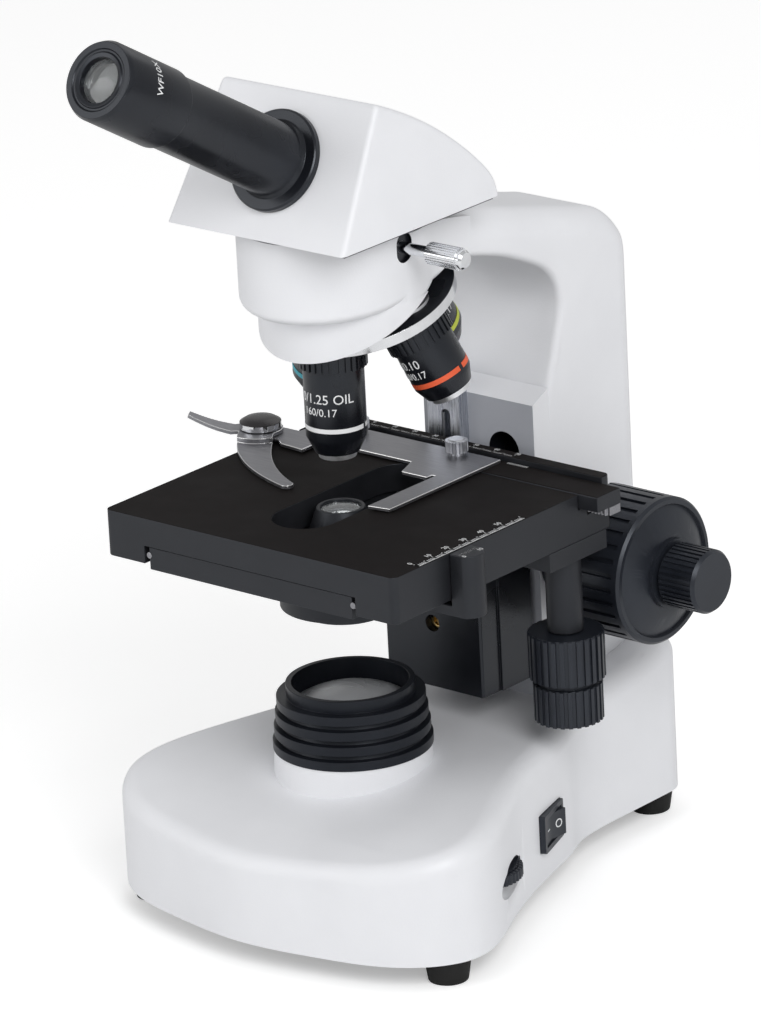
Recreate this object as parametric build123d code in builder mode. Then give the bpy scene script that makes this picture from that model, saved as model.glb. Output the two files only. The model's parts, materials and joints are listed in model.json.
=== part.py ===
from build123d import *
from math import cos, pi, radians, sin, tan
import os

os.makedirs("parts", exist_ok=True)

# Upright monocular microscope, millimetres. The user sits at -Y, +Z is up and the table is z = 0.
# The optical axis is vertical at x = 0; y sizes are measured from it, towards the rear.
axis_y = -12.0            # optical axis, from the middle of the instrument's whole length
clear = 0.3               # gap between pieces that move past each other
run_fit = 0.05            # radial gap of a shaft or sleeve in its bore
press_fit = 0.02          # radial gap of a piece fixed in its bore

# Base casting
foot_height = 9.5
foot_top_r = 9.0
foot_bottom_r = 7.5
front_foot = (72.0, -36.0)
rear_foot = (32.0, 135.5)
base_front = 69.5
base_rear = 147.5
nose_mid = (34.0, -65.2)
nose_corner = (69.5, -52.8)
flank_start = (82.6, -36.0)
waist = (49.6, 66.0)
flank_end = 100.0
rear_half = 43.0
rear_corner_r = 13.0
base_round = 8.0
outline_steps = 24
base_wall = 6.0
cavity_top = 40.0
cover_thick = 2.0
cover_ledge = 3.0
cover_screw_spots = [(48.0, -42.0), (-48.0, -42.0), (33.0, 108.0), (-33.0, 108.0)]
cover_screw_r = 3.2
crown = [(-90, 34.0), (-66, 44.5), (-45, 51.0), (-22, 55.8), (8, 59.5), (30, 60.5), (70, 61.5), (110, 66.0),
         (160, 80.0)]
boss_top = 65.5
boss_r = 29.6
boss_foot_r = 31.2

# Switch, dimmer and mains inlet in the base walls
switch_at = (56.2, 45.0)
switch_z = 29.0
switch_turn = 20.0
switch_long = 21.0
switch_tall = 15.0
switch_lip = 2.6
switch_sink = 0.8
switch_deep = 11.0
rocker_drop = 1.5
rocker_long = 15.4
rocker_tall = 10.4
rocker_tilt = 10.0
rocker_pin_r = 1.2
dimmer_at = (72.4, 2.0)
dimmer_z = 28.0
dimmer_turn = 15.0
wheel_r = 14.0
wheel_thick = 5.0
wheel_proud = 1.5
wheel_ribs = 40
pot_shaft_r = 3.0
inlet_wide = 27.0
inlet_tall = 20.0
inlet_z = 30.0
inlet_lip = 1.6
inlet_deep = 20.0

# Lamp
fin_count = 4
fin_pitch = 5.7
fin_thick = 3.6
fin_r_top = 28.0
fin_r_bottom = 30.1
groove_depth = 2.6
collar_r = 24.3
collar_top = 90.9
lamp_bore_r = 22.0
lens_seat_z = 80.5
lens_r = 21.6
lens_seat_r = 18.5
lamp_socket_r = 8.0
bulb_r = 5.5
bulb_top = 60.0

# Arm
arm_half = 26.7
arm_rear = 146.0
arm_round = 11.0
arch_round = 3.0
arm_foot_z = 56.0
column_front = 86.5
pad_front = 81.0
pad_top = 184.0
pad_slope = 4.5
pad_deep = 4.0
nose_r = 33.0
nose_top = 270.0
neck_front = 14.0
neck_curve = [(46.0, 5.8), (71.0, 11.2), (100.0, 18.5), (122.0, 24.4)]
shoulder_curve = [(134.0, 28.2), (142.5, 36.0)]
shoulder_drop = 49.0
arch_start = 112.0
arch_curve = [(88.4, 100.1), (90.4, 88.9), (94.3, 76.6), (97.8, 65.8), (100.2, 56.4), (99.2, 49.0),
              (94.5, 42.0), (84.0, 35.4), (69.0, 29.0), (54.7, 24.8), (40.0, 21.5)]
arch_end = 19.0
drum_tall = 32.0
drum_rear = 50.0
drum_rise = 8.5
drum_back = 7.4
drum_round = 4.0
seat_round = 4.0
turret_seat_r = 33.0
turret_seat_back = 10.0
turret_seat_tall = 46.3
turret_seat_tilt = 23.0
pivot_boss_r = 12.0
light_bore_r = 9.0
pad_hole_r = 7.25
pad_hole = (12.0, 159.5)
pad_hole_deep = 14.0

# Focus: rail, carrier, rack, pinion shaft and knobs
rail_left = -20.5
rail_right = -5.0
rail_front = 75.0
rail_bottom = 66.0
rail_top = 190.0
rail_slot = (-11.0, 2.6, 172.5)
carrier_half = 23.5
carrier_front = 48.5
carrier_split = 59.0
carrier_rear = 78.0
carrier_rear_half = 24.5
carrier_bottom = 72.0
carrier_hole_r = 3.25
carrier_hole_z = 97.6
stage_bottom = 141.0
focus_y = 99.5
focus_z = 117.0
focus_teeth = 12
focus_module = 1.0
focus_rack_half = 4.0
focus_rack_low = 96.0
focus_rack_high = 131.0
focus_up = 15.0
focus_down = 8.0
coarse_shaft_r = 4.4
fine_shaft_r = 2.2
bush_r = 7.0
bush_flange_r = 18.0
coarse_r = 28.3
coarse_start = 42.0
coarse_end = 72.0
coarse_face_r = 13.4
coarse_tip = 77.0
coarse_ribs = 32
coarse_lip = 3.4
coarse_socket = 20.0
fine_r = 12.3
fine_start = 77.6
fine_end = 95.0
fine_ribs = 36
fine_wall = 4.0

# Stage
stage_half = 70.0
stage_front = -53.0
stage_rear = 72.5
stage_low = 143.0
stage_top = 161.0
stage_corner_r = 3.0
channel_half = 51.0
channel_top = 150.0
guide_half = 49.0
guide_front = -52.4
guide_rear = 66.0
guide_hole_r = 21.0
race_r = 1.3
race_out = 0.3
race_z = 146.4
slot_half = 13.0
slot_front = -32.0
slot_rear = 48.0
rear_wall_y = 67.0
rear_wall_top = 163.5
bar_front = 53.0
bar_low = 155.5
bar_top = 161.5
bar_left = -66.0
bar_right = 79.0
x_rack_low = 152.2
x_rack_left = -4.0
vernier_at = (75.7, -16.0)
vernier_half = 6.0
vernier_low = 137.0

# Coaxial stage drive
drive_x = 60.0
drive_y = 54.5
bracket_low = 135.7
bracket_front = 35.0
bracket_rear = 68.5
bracket_left = 56.0
sleeve_r = 6.85
y_shaft_r = 5.0
x_shaft_r = 2.5
y_knob_r = 14.5
y_knob_low = 87.5
y_knob_high = 105.5
x_knob_r = 13.15
x_knob_low = 70.5
x_knob_high = 85.0
y_teeth = 12
y_module = 1.0
x_teeth = 20
x_module = 0.5
y_travel = 35.0
knob_neck_r = 10.8
y_knob_ribs = 28
x_knob_ribs = 26
knob_groove = (0.8, 1.5)
bracket_floor = 1.4

# Slide holder and clip
holder_thick = 1.5
finger_left = 15.0
finger_right = 24.4
finger_front = -2.0
holder_rear = 64.0
slide_edge = 34.0
holder_web = 44.5
holder_left = -60.0
pivot_at = (-73.6, 40.0)
pivot_r = 2.5
lug_r = 9.0
lug_front = 37.0
clip_thick = 1.5
clip_hub_r = 8.6
cap_r = 8.0
cap_top = 169.2
joggle_in = 11.4
joggle_out = 13.4
clip_outer = [(-80.5, 36.5), (-67.5, 19.5), (-49.0, 6.5), (-28.0, -1.5)]
clip_tip = [(-24.6, -0.3), (-25.6, 2.9)]
clip_inner = [(-42.0, 12.5), (-54.5, 24.0), (-66.5, 40.0)]
lever_long = 27.9
lever_rise = 5.7
lever_half = 4.2
lever_bend = 11.0
lever_turn = 210.2
thumb_screws = [(7.0, 59.4), (-41.0, 59.4)]
thumb_r = 3.8
thumb_top = 169.6
thumb_ribs = 20

# Condenser
condenser_r = 18.5
ring_r = 24.5
ring_low = 122.0
ring_high = 134.0
condenser_barrel = 17.5
condenser_cone = 9.0
condenser_neck = 3.0
condenser_tip = 8.5
condenser_neck_r = 12.2
condenser_tip_r = 9.0
condenser_bore_r = 11.0
front_lens_r = 7.6
front_lens_thick = 6.0
iris_r = 16.5
iris_bore_r = 9.0
iris_low = 118.5
iris_tall = 2.7
iris_lever_r = 1.3
iris_lever_long = 10.0
iris_lever_turn = 135.0
clamp_r = 4.0
clamp_long = 10.0
clamp_pin_r = 2.0
ring_neck_half = 13.0

# Nosepiece and objectives
tilt = 18.0
apex_up = 22.0
shoulder = 68.0
turret_r = 35.0
turret_top = 7.6
rim_top = 6.5
rim_low = 2.2
turret_gap = 0.4
turret_room = 1.2
turret_hub_r = 26.0
pivot_pin_r = 4.0
pivot_depth = 8.0
pivot_head_r = 7.5
thread_r = 10.16
thread_long = 4.5
knurl_r = 12.9
barrel_r = 11.4
knurl_low = 1.0
knurl_high = 9.2
objectives = {
    "objective_100x": (0, 44.6, 7.8, 36.0),
    "objective_4x": (90, 33.0, 8.6, 25.5),
    "objective_10x": (180, 38.5, 8.0, 30.0),
    "objective_40x": (270, 44.4, 7.4, 35.5),
}
knurl_ribs = 30
objective_bore_r = 6.0

# Viewing head
head_gap = 3.0
head_half_low = 42.3
head_half_high = 36.8
head_front = -39.5
head_tall = 49.0
head_rear = 49.4
head_roof = [(17.5, 34.4), (33.7, 22.3), (44.5, 11.9)]
seat_r = 31.0
spigot_r = 20.0
spigot_long = 4.0
tube_tilt = 30.5
tube_up = 25.6
flange_r = 19.2
flange_thick = 3.0
tube_r = 13.8
tube_long = 66.4
tube_bore_r = 11.6
tube_in = 13.0
eyepiece_r = 14.9
eyepiece_end = 102.8
eyepiece_in = 36.0
eye_lens_r = 8.4
eye_lens_in = 8.0
field_lens_r = 9.5
prism_up = 7.0
prism_half = 11.0
screw_y = 5.0
screw_drop = 6.5
screw_r = 2.2
screw_head_r = 4.2
screw_neck = 45.0
screw_end = 62.0
screw_in = 21.0
screw_ribs = 24


def level(height):
    """Horizontal plane at a height, centred on the optical axis."""
    return Plane(origin=(0, axis_y, height))


def side(x=0.0):
    """Upright plane across x: sketch x runs to the rear and sketch y runs up."""
    return Plane(origin=(x, axis_y, 0), x_dir=(0, 1, 0), z_dir=(1, 0, 0))


def facing(y):
    """Upright plane facing the user at a given y: sketch x is +X and sketch y is up."""
    return Plane(origin=(0, axis_y + y, 0), x_dir=(1, 0, 0), z_dir=(0, -1, 0))


def shaft_plane(x, y, height, sign=1):
    """Upright plane across a shaft that runs along x, seen from the side the sign names."""
    return Plane(origin=(x, axis_y + y, height), x_dir=(0, 1, 0), z_dir=(sign, 0, 0))


def wall_plane(at, height, turn):
    """Plane on an upright base wall whose outward normal is turned from +X."""
    along = (-sin(radians(turn)), cos(radians(turn)), 0)
    out = (cos(radians(turn)), sin(radians(turn)), 0)
    return Plane(origin=(at[0], axis_y + at[1], height), x_dir=along, z_dir=out)


def save(builder, name):
    builder.part.label = name
    export_step(builder.part, f"parts/{name}.step")


def base_outline(height, inset=0.0):
    """Plan of the base, moved in by an inset: curved nose, waisted flanks, square rear with round corners."""
    points = [(0, -base_front), nose_mid, nose_corner, flank_start, dimmer_at, switch_at, waist,
              (rear_half, flank_end)]
    if inset:
        edge = Spline(points, tangents=[(1, 0), (0, 1)])
        shares = [k / outline_steps for k in range(outline_steps + 1)]
        points = [edge @ t + Vector(-(edge % t).Y, (edge % t).X) * inset for t in shares]
    half = rear_half - inset
    rear = base_rear - inset
    corner = rear_corner_r - inset
    bend = corner * (1 - cos(pi / 4))
    with BuildSketch(level(height)) as outline:
        with BuildLine():
            flank = Spline(points, tangents=[(1, 0), (0, 1)])
            wall = Line(flank @ 1, (half, rear - corner))
            turn = ThreePointArc(wall @ 1, (half - bend, rear - bend), (half - corner, rear))
            Line(turn @ 1, (0, rear))
            mirror(about=Plane.YZ)
        make_face()
    return outline.sketch


def turned(axis_origin, axis_dir, across, profile):
    """Solid of revolution: profile points are (radius, distance along the axis)."""
    frame = Plane(origin=axis_origin, x_dir=across, z_dir=Vector(*across).cross(Vector(*axis_dir)))
    with BuildPart() as body:
        with BuildSketch(frame):
            with BuildLine():
                Polyline(*profile, close=True)
            make_face()
        revolve(axis=Axis(axis_origin, axis_dir))
    return body.part


def upright(at, profile):
    """Solid of revolution about a vertical axis: profile points are (radius, height)."""
    return turned((at[0], axis_y + at[1], 0), (0, 0, 1), (1, 0, 0), profile)


def gear_points(teeth, module, turn):
    """Corners of a spur gear with straight flanks and some backlash."""
    pitch_r = teeth * module / 2
    tip = pitch_r + 0.85 * module
    root = pitch_r - 1.2 * module
    step = 360 / teeth
    points = []
    for k in range(teeth):
        middle = turn + k * step
        for radius, share in ((root, -0.27), (tip, -0.11), (tip, 0.11), (root, 0.27)):
            angle = radians(middle + share * step)
            points.append((radius * cos(angle), radius * sin(angle)))
    return points


def rack_points(start, end, base, module, centre):
    """Corners of a rack along x with teeth towards +y; the pitch line is y = 0, a tooth stands at centre."""
    pitch = pi * module
    first = centre - pitch * int((centre - start - pitch / 2) / pitch)
    points = [(end, -base), (start, -base), (start, -1.2 * module)]
    middle = first
    while middle + pitch / 2 < end:
        for offset_share, height in ((-0.36, -1.2), (-0.12, 0.85), (0.12, 0.85), (0.36, -1.2)):
            points.append((middle + offset_share * pitch, height * module))
        middle += pitch
    points.append((end, -1.2 * module))
    return points


def ribbed(plane, radius, length, ribs, depth, width):
    """Plain cylinder with straight grip grooves round it."""
    with BuildPart() as grip:
        with BuildSketch(plane):
            Circle(radius)
            with PolarLocations(radius, ribs):
                Rectangle(2 * depth, width, mode=Mode.SUBTRACT)
        extrude(amount=length)
    return grip.part


# Base casting: waisted plan under a crowned top, hollow from below
with BuildSketch(side(-2 * base_front)) as crown_sketch:
    with BuildLine():
        roof = Spline(*crown)
        Polyline(roof @ 1, (crown[-1][0], 0), (crown[0][0], 0), roof @ 0)
    make_face()

switch_plane = wall_plane(switch_at, switch_z, switch_turn)
dimmer_plane = wall_plane(dimmer_at, dimmer_z, dimmer_turn)
wheel_centre = dimmer_plane.from_local_coords((0, 0, wheel_proud - wheel_r))
wheel_at = (wheel_centre.X, wheel_centre.Y - axis_y)
inlet_plane = Plane(origin=(0, axis_y + base_rear, inlet_z), x_dir=(-1, 0, 0), z_dir=(0, 1, 0))

with BuildSketch(level(arm_foot_z)) as arm_foot:
    with Locations((0, (pad_front + base_rear) / 2)):
        Rectangle(2 * arm_half, base_rear - pad_front)

boss_form = upright((0, 0), [(0, cavity_top), (boss_foot_r, cavity_top), (boss_r, boss_top), (0, boss_top)])
with BuildPart() as wheel_room:
    with BuildSketch(Plane(origin=(wheel_centre.X, wheel_centre.Y, dimmer_z), x_dir=dimmer_plane.z_dir,
                           z_dir=dimmer_plane.x_dir * -1)):
        with BuildLine():
            lip = ThreePointArc((wheel_r - wheel_proud, -wheel_thick), (wheel_r + 2, 0),
                                (wheel_r - wheel_proud, wheel_thick))
            Polyline(lip @ 1, (0, wheel_thick), (0, -wheel_thick), lip @ 0)
        make_face()
    revolve(axis=Axis((wheel_centre.X, wheel_centre.Y, 0), (0, 0, 1)))

with BuildPart() as base_casting:
    extrude(base_outline(foot_height), amount=crown[-1][1])
    extrude(crown_sketch.sketch, amount=4 * base_front, mode=Mode.INTERSECT)
    fillet(base_casting.faces().sort_by(Axis.Z)[-1].edges(), base_round)
    add(boss_form)
    extrude(base_outline(foot_height + cover_thick, base_wall), amount=cavity_top - foot_height - cover_thick,
            mode=Mode.SUBTRACT)
    extrude(base_outline(foot_height, cover_ledge), amount=cover_thick, mode=Mode.SUBTRACT)
    extrude(arm_foot.sketch, amount=crown[-1][1], mode=Mode.SUBTRACT)
    with BuildSketch(level(cavity_top)):
        Circle(lens_seat_r)
    extrude(amount=boss_top - cavity_top, mode=Mode.SUBTRACT)
    with BuildSketch(switch_plane.offset(-switch_sink)):
        Rectangle(switch_long + 2 * clear, switch_tall + 2 * clear)
    extrude(amount=base_wall, mode=Mode.SUBTRACT)
    with BuildSketch(switch_plane.offset(-switch_sink)):
        Rectangle(switch_long - 1.4, switch_tall - 1.4)
    extrude(amount=-2 * base_wall, mode=Mode.SUBTRACT)
    add(wheel_room.part, mode=Mode.SUBTRACT)
    with BuildSketch(inlet_plane):
        Rectangle(inlet_wide + 0.4, inlet_tall + 0.4)
    extrude(amount=-2 * base_wall, mode=Mode.SUBTRACT)
save(base_casting, "base_casting")

with BuildPart() as bottom_cover:
    extrude(base_outline(foot_height, cover_ledge + clear), amount=cover_thick)
save(bottom_cover, "bottom_cover")

with BuildPart() as rubber_feet:
    for side_sign in (1, -1):
        for spot in (front_foot, rear_foot):
            add(upright((side_sign * spot[0], spot[1]),
                        [(0, 0), (foot_bottom_r, 0), (foot_top_r, foot_height), (0, foot_height)]))
save(rubber_feet, "rubber_feet")

with BuildPart() as cover_screws:
    for spot in cover_screw_spots:
        add(upright(spot, [(0, foot_height - 2), (cover_screw_r - 1, foot_height - 2),
                           (cover_screw_r, foot_height - 1), (cover_screw_r, foot_height), (0, foot_height)]))
save(cover_screws, "cover_screws")

# Switch
lip_plane = switch_plane.offset(-switch_sink)
rocker_origin = lip_plane.from_local_coords((0, 0, -rocker_drop))
with BuildPart() as switch_bezel:
    with BuildSketch(lip_plane):
        RectangleRounded(switch_long, switch_tall, 1.0)
    extrude(amount=switch_lip)
    with BuildSketch(lip_plane):
        Rectangle(switch_long - 1.8, switch_tall - 1.8)
    extrude(amount=-switch_deep)
    with BuildSketch(lip_plane.offset(switch_lip)):
        Rectangle(rocker_long + 1.8, rocker_tall + 2 * clear)
    extrude(amount=switch_sink - switch_deep, mode=Mode.SUBTRACT)
    with BuildSketch(Plane(origin=rocker_origin, z_dir=(0, 0, 1))):
        Circle(rocker_pin_r + run_fit)
    extrude(amount=rocker_tall / 2 + 4 * clear, both=True, mode=Mode.SUBTRACT)
save(switch_bezel, "switch_bezel")

rocker_half = rocker_long / 2
with BuildPart() as rocker:
    rocker_dir = lip_plane.x_dir.rotate(Axis.Z, -rocker_tilt)
    rocker_side = Plane(origin=rocker_origin, x_dir=rocker_dir, z_dir=(0, 0, -1))
    with BuildSketch(rocker_side):
        with BuildLine():
            Polyline((-rocker_half, 5.0), (0, 3.2), (rocker_half, 5.0), (rocker_half, 1.6), (3, -2.2),
                     (-3, -2.2), (-rocker_half, 1.6), close=True)
        make_face()
    extrude(amount=rocker_tall / 2, both=True)
    with BuildSketch(rocker_side):
        Circle(rocker_pin_r)
    extrude(amount=rocker_tall / 2 + 3 * clear, both=True)
save(rocker, "rocker")

# Dimmer wheel on its potentiometer
with BuildPart() as dimmer_wheel:
    with BuildSketch(level(dimmer_z - wheel_thick / 2)):
        with Locations(wheel_at):
            Circle(wheel_r)
            with PolarLocations(wheel_r, wheel_ribs):
                Rectangle(1.0, 0.9, mode=Mode.SUBTRACT)
            Circle(pot_shaft_r + run_fit, mode=Mode.SUBTRACT)
    extrude(amount=wheel_thick)
save(dimmer_wheel, "dimmer_wheel")

pot_top = dimmer_z - wheel_thick / 2 - clear
with BuildPart() as dimmer_pot:
    with BuildSketch(level(foot_height + cover_thick)):
        with Locations(wheel_at):
            RectangleRounded(10, 14, 2, rotation=dimmer_turn)
    extrude(amount=pot_top - foot_height - cover_thick)
    with BuildSketch(level(pot_top)):
        with Locations(wheel_at):
            Circle(pot_shaft_r)
    extrude(amount=wheel_thick + 2 * clear + 2)
save(dimmer_pot, "dimmer_pot")

# Mains inlet in the rear wall
with BuildPart() as power_inlet:
    with BuildSketch(inlet_plane):
        RectangleRounded(inlet_wide + 4, inlet_tall + 4, 2)
    extrude(amount=inlet_lip)
    with BuildSketch(inlet_plane):
        Rectangle(inlet_wide, inlet_tall)
    extrude(amount=-inlet_deep)
    with BuildSketch(inlet_plane.offset(inlet_lip)):
        RectangleRounded(inlet_wide - 3, inlet_tall - 3, 3)
    extrude(amount=3 - inlet_deep, mode=Mode.SUBTRACT)
    with BuildSketch(inlet_plane.offset(inlet_lip + 3 - inlet_deep)):
        with Locations((-7, -1.5), (0, 2.5), (7, -1.5)):
            Rectangle(2, 4)
    extrude(amount=12)
save(power_inlet, "power_inlet")

# Lamp: socket and bulb under a finned housing with its collector lens
with BuildPart() as lamp_socket:
    with BuildSketch(level(foot_height + cover_thick)):
        Circle(lamp_socket_r)
    extrude(amount=cavity_top - foot_height - cover_thick)
    with BuildSketch(level(foot_height + cover_thick)):
        Rectangle(30, 24)
    extrude(amount=3)
save(lamp_socket, "lamp_socket")

with BuildPart() as lamp_bulb:
    add(upright((0, 0), [(0, cavity_top), (3.5, cavity_top), (3.5, cavity_top + 3), (bulb_r, cavity_top + 5),
                         (bulb_r, bulb_top - 4), (bulb_r * 0.6, bulb_top - 1), (0, bulb_top)]))
save(lamp_bulb, "lamp_bulb")

fin_profile = [(lens_seat_r, boss_top)]
for k in range(fin_count):
    fin_r = fin_r_bottom + (fin_r_top - fin_r_bottom) * k / (fin_count - 1)
    fin_low = boss_top + k * fin_pitch
    if k:
        fin_profile.append((fin_r - groove_depth, fin_low))
    fin_profile.append((fin_r, fin_low))
    fin_profile.append((fin_r, fin_low + fin_thick))
    if k < fin_count - 1:
        fin_profile.append((fin_r - groove_depth, fin_low + fin_thick))
fin_top = boss_top + (fin_count - 1) * fin_pitch + fin_thick
fin_profile += [(collar_r, fin_top), (collar_r, collar_top), (lamp_bore_r, collar_top),
                (lamp_bore_r, lens_seat_z), (lens_seat_r, lens_seat_z)]
with BuildPart() as lamp_housing:
    add(upright((0, 0), fin_profile))
save(lamp_housing, "lamp_housing")

with BuildPart() as collector_lens:
    with BuildSketch(side()):
        with BuildLine():
            dome = ThreePointArc((0, lens_seat_z + 7.5), (lens_r * 0.55, lens_seat_z + 6.0),
                                 (lens_r, lens_seat_z + 2))
            Polyline(dome @ 1, (lens_r, lens_seat_z), (0, lens_seat_z), dome @ 0)
        make_face()
    revolve(axis=Axis((0, axis_y, 0), (0, 0, 1)))
save(collector_lens, "collector_lens")

# Turret frame: the turret turns about a line that leans back from the optical axis
lean = radians(tilt)
turret_dir = Vector(0, sin(lean), -cos(lean))
apex_z = nose_top + apex_up
apex = Vector(0, axis_y, apex_z)
disc_centre = apex + turret_dir * (shoulder * cos(lean))
seat_centre = disc_centre - turret_dir * (turret_top + turret_gap)


def objective_frame(turn):
    """Shoulder point and direction of the objective at a turn from the front."""
    forward = Vector(0, -cos(lean), -sin(lean))
    outward = forward * cos(radians(turn)) + Vector(1, 0, 0) * sin(radians(turn))
    direction = turret_dir * cos(lean) + outward * sin(lean)
    across = outward * cos(lean) - turret_dir * sin(lean)
    return apex + direction * shoulder, direction, across


# Arm casting: foot column, C-shaped neck, nosepiece drum and turret seat
screw_z = nose_top - screw_drop
with BuildSketch(side(-arm_half)) as arm_side:
    with BuildLine():
        neck = Spline([(neck_front, nose_top)] + [(y, nose_top - drop) for y, drop in neck_curve],
                      tangents=[(1, -0.12), (1, -0.28)])
        bend = Spline([neck @ 1] + [(y, nose_top - drop) for y, drop in shoulder_curve]
                      + [(arm_rear, nose_top - shoulder_drop)], tangents=[(1, -0.28), (0, -1)])
        back_line = Line(bend @ 1, (arm_rear, arm_foot_z))
        foot_line = Line(back_line @ 1, (column_front, arm_foot_z))
        front_line = Line(foot_line @ 1, (column_front, nose_top - arch_start))
        arch = Spline([front_line @ 1] + [(y, nose_top - drop) for y, drop in arch_curve]
                      + [(neck_front, nose_top - arch_end)], tangents=[(0, 1), (-1, 0.1)])
        Line(arch @ 1, neck @ 0)
    make_face()
with BuildPart() as arm_neck:
    extrude(arm_side.sketch, amount=2 * arm_half)
    flank_edges = arm_neck.faces().filter_by(Axis.X).edges()
    back_edges = flank_edges.filter_by_position(Axis.Y, axis_y + arm_rear - 1, axis_y + arm_rear + 1)
    top_edges = flank_edges.filter_by(lambda edge: edge.bounding_box().min.Z > nose_top - shoulder_drop - 1)
    fillet(back_edges + top_edges, arm_round)
    flank_edges = arm_neck.faces().filter_by(Axis.X).edges()
    fillet(flank_edges.filter_by(lambda edge: edge.bounding_box().max.Z < nose_top - arch_end + 1
                                 and edge.bounding_box().max.Z > nose_top - arch_end - 1), arch_round)

with BuildSketch(level(0)) as drum_plan:
    with BuildLine():
        front_arc = ThreePointArc((0, -nose_r), (nose_r * sin(pi / 4), -nose_r * cos(pi / 4)), (nose_r, 0))
        cheek = Spline([front_arc @ 1, (arm_half, drum_rear)], tangents=[(0, 1), (0, 1)])
        Line(cheek @ 1, (0, drum_rear))
        mirror(about=Plane.YZ)
    make_face()
drum_low = nose_top - drum_tall
with BuildSketch(side(-2 * nose_r)) as drum_side:
    with BuildLine():
        Polyline((-nose_r - 5, drum_low), (drum_rear, drum_low + drum_rise),
                 (drum_rear, nose_top - drum_back), neck @ 0, (-nose_r - 5, nose_top), close=True)
    make_face()
with BuildPart() as nose_drum:
    extrude(drum_plan.sketch, amount=nose_top + 1)
    extrude(drum_side.sketch, amount=4 * nose_r, mode=Mode.INTERSECT)
    drum_rim = nose_drum.faces().sort_by(Axis.Z)[0].edges()
    fillet(drum_rim.filter_by(lambda edge: edge.center().Y < axis_y + drum_rear - 1), drum_round)

seat_plane = Plane(origin=seat_centre, x_dir=(1, 0, 0), z_dir=turret_dir)
skirt_lean = radians(turret_seat_tilt)
skirt_front = Vector(0, axis_y + turret_seat_back - turret_seat_r, nose_top - turret_seat_tall)
skirt_plane = Plane(origin=skirt_front, x_dir=(1, 0, 0), z_dir=(0, sin(skirt_lean), -cos(skirt_lean)))
with BuildPart() as turret_seat:
    with BuildSketch(level(nose_top - turret_seat_tall - 1)):
        with Locations((0, turret_seat_back)):
            Circle(turret_seat_r)
    extrude(amount=turret_seat_tall - 1)
    split(bisect_by=skirt_plane, keep=Keep.BOTTOM)
    fillet(turret_seat.faces().sort_by(Axis.Z)[0].edges(), seat_round)

with BuildPart() as arm_casting:
    add(arm_neck.part)
    add(nose_drum.part)
    with BuildSketch(seat_plane.offset(-clear)):
        Circle(turret_r + turret_room)
    extrude(amount=2 * turret_top, mode=Mode.SUBTRACT)
    add(turret_seat.part)
    with BuildSketch(skirt_plane):
        with Locations((0, -turret_r)):
            Circle(turret_r + 6)
    extrude(amount=shoulder / 2, mode=Mode.SUBTRACT)
    with BuildSketch(seat_plane):
        Circle(pivot_boss_r)
    extrude(amount=-pivot_depth - 4)
    with BuildSketch(side(-arm_half)):
        with BuildLine():
            Polyline((pad_front, arm_foot_z), (pad_front, pad_top - pad_slope),
                     (column_front + pad_deep, pad_top), (column_front + pad_deep, arm_foot_z), close=True)
        make_face()
    extrude(amount=2 * arm_half)
    with BuildSketch(level(apex_z - shoulder)):
        Circle(light_bore_r)
    extrude(amount=shoulder, mode=Mode.SUBTRACT)
    with BuildSketch(seat_plane):
        Circle(pivot_pin_r + press_fit)
    extrude(amount=-pivot_depth, mode=Mode.SUBTRACT)
    with BuildSketch(facing(pad_front)):
        with Locations(pad_hole):
            Circle(pad_hole_r)
    extrude(amount=-pad_hole_deep, mode=Mode.SUBTRACT)
    with BuildSketch(side()):
        with Locations((focus_y, focus_z)):
            Circle(bush_r)
    extrude(amount=arm_half + 5, both=True, mode=Mode.SUBTRACT)
    with BuildSketch(facing(pad_front - 1)):
        with Locations((0, focus_z)):
            Rectangle(2 * focus_rack_half + 2, 2 * (focus_rack_high - focus_z + focus_up + 2))
    extrude(amount=-(focus_y - pad_front + 9), mode=Mode.SUBTRACT)
    with BuildSketch(shaft_plane(nose_r - 1.5, screw_y, screw_z)):
        SlotCenterToCenter(3.0, 8.5, rotation=90)
    extrude(amount=8, mode=Mode.SUBTRACT)
    with BuildSketch(shaft_plane(screw_in - 1, screw_y, screw_z)):
        Circle(screw_r + run_fit)
    extrude(amount=20, mode=Mode.SUBTRACT)
save(arm_casting, "arm_casting")

# Chrome guide rail on the column
with BuildPart() as focus_rail:
    with BuildSketch(facing(pad_front)):
        with Locations(((rail_left + rail_right) / 2, (rail_bottom + rail_top) / 2)):
            Rectangle(rail_right - rail_left, rail_top - rail_bottom)
        with Locations((rail_slot[0], (rail_bottom + 20 + rail_slot[2]) / 2)):
            SlotOverall(rail_slot[2] - rail_bottom - 20, rail_slot[1], rotation=90, mode=Mode.SUBTRACT)
    extrude(amount=pad_front - rail_front)
    chamfer(focus_rail.edges().filter_by(Axis.Z).group_by(Axis.Y)[0], 0.8)
save(focus_rail, "focus_rail")

# Focus carrier with its rack, guided by the rail
with BuildPart() as focus_carrier:
    with BuildSketch(level(carrier_bottom)):
        with Locations((0, (carrier_front + carrier_split) / 2)):
            Rectangle(2 * carrier_half, carrier_split - carrier_front)
        with Locations((0, (carrier_split + carrier_rear) / 2)):
            Rectangle(2 * carrier_rear_half, carrier_rear - carrier_split)
    extrude(amount=stage_bottom - carrier_bottom)
    with BuildSketch(level(carrier_bottom)):
        with Locations(((rail_left + rail_right) / 2, (rail_front + carrier_rear) / 2)):
            Rectangle(rail_right - rail_left + 2 * clear, carrier_rear - rail_front + 2 * clear)
    extrude(amount=stage_bottom - carrier_bottom, mode=Mode.SUBTRACT)
    with BuildSketch(facing(carrier_front)):
        with Locations((0, carrier_hole_z)):
            Circle(carrier_hole_r)
    extrude(amount=-6, mode=Mode.SUBTRACT)
    chamfer(focus_carrier.edges().filter_by(Axis.Z).group_by(Axis.Y)[0], 0.8)
save(focus_carrier, "focus_carrier")

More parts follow.
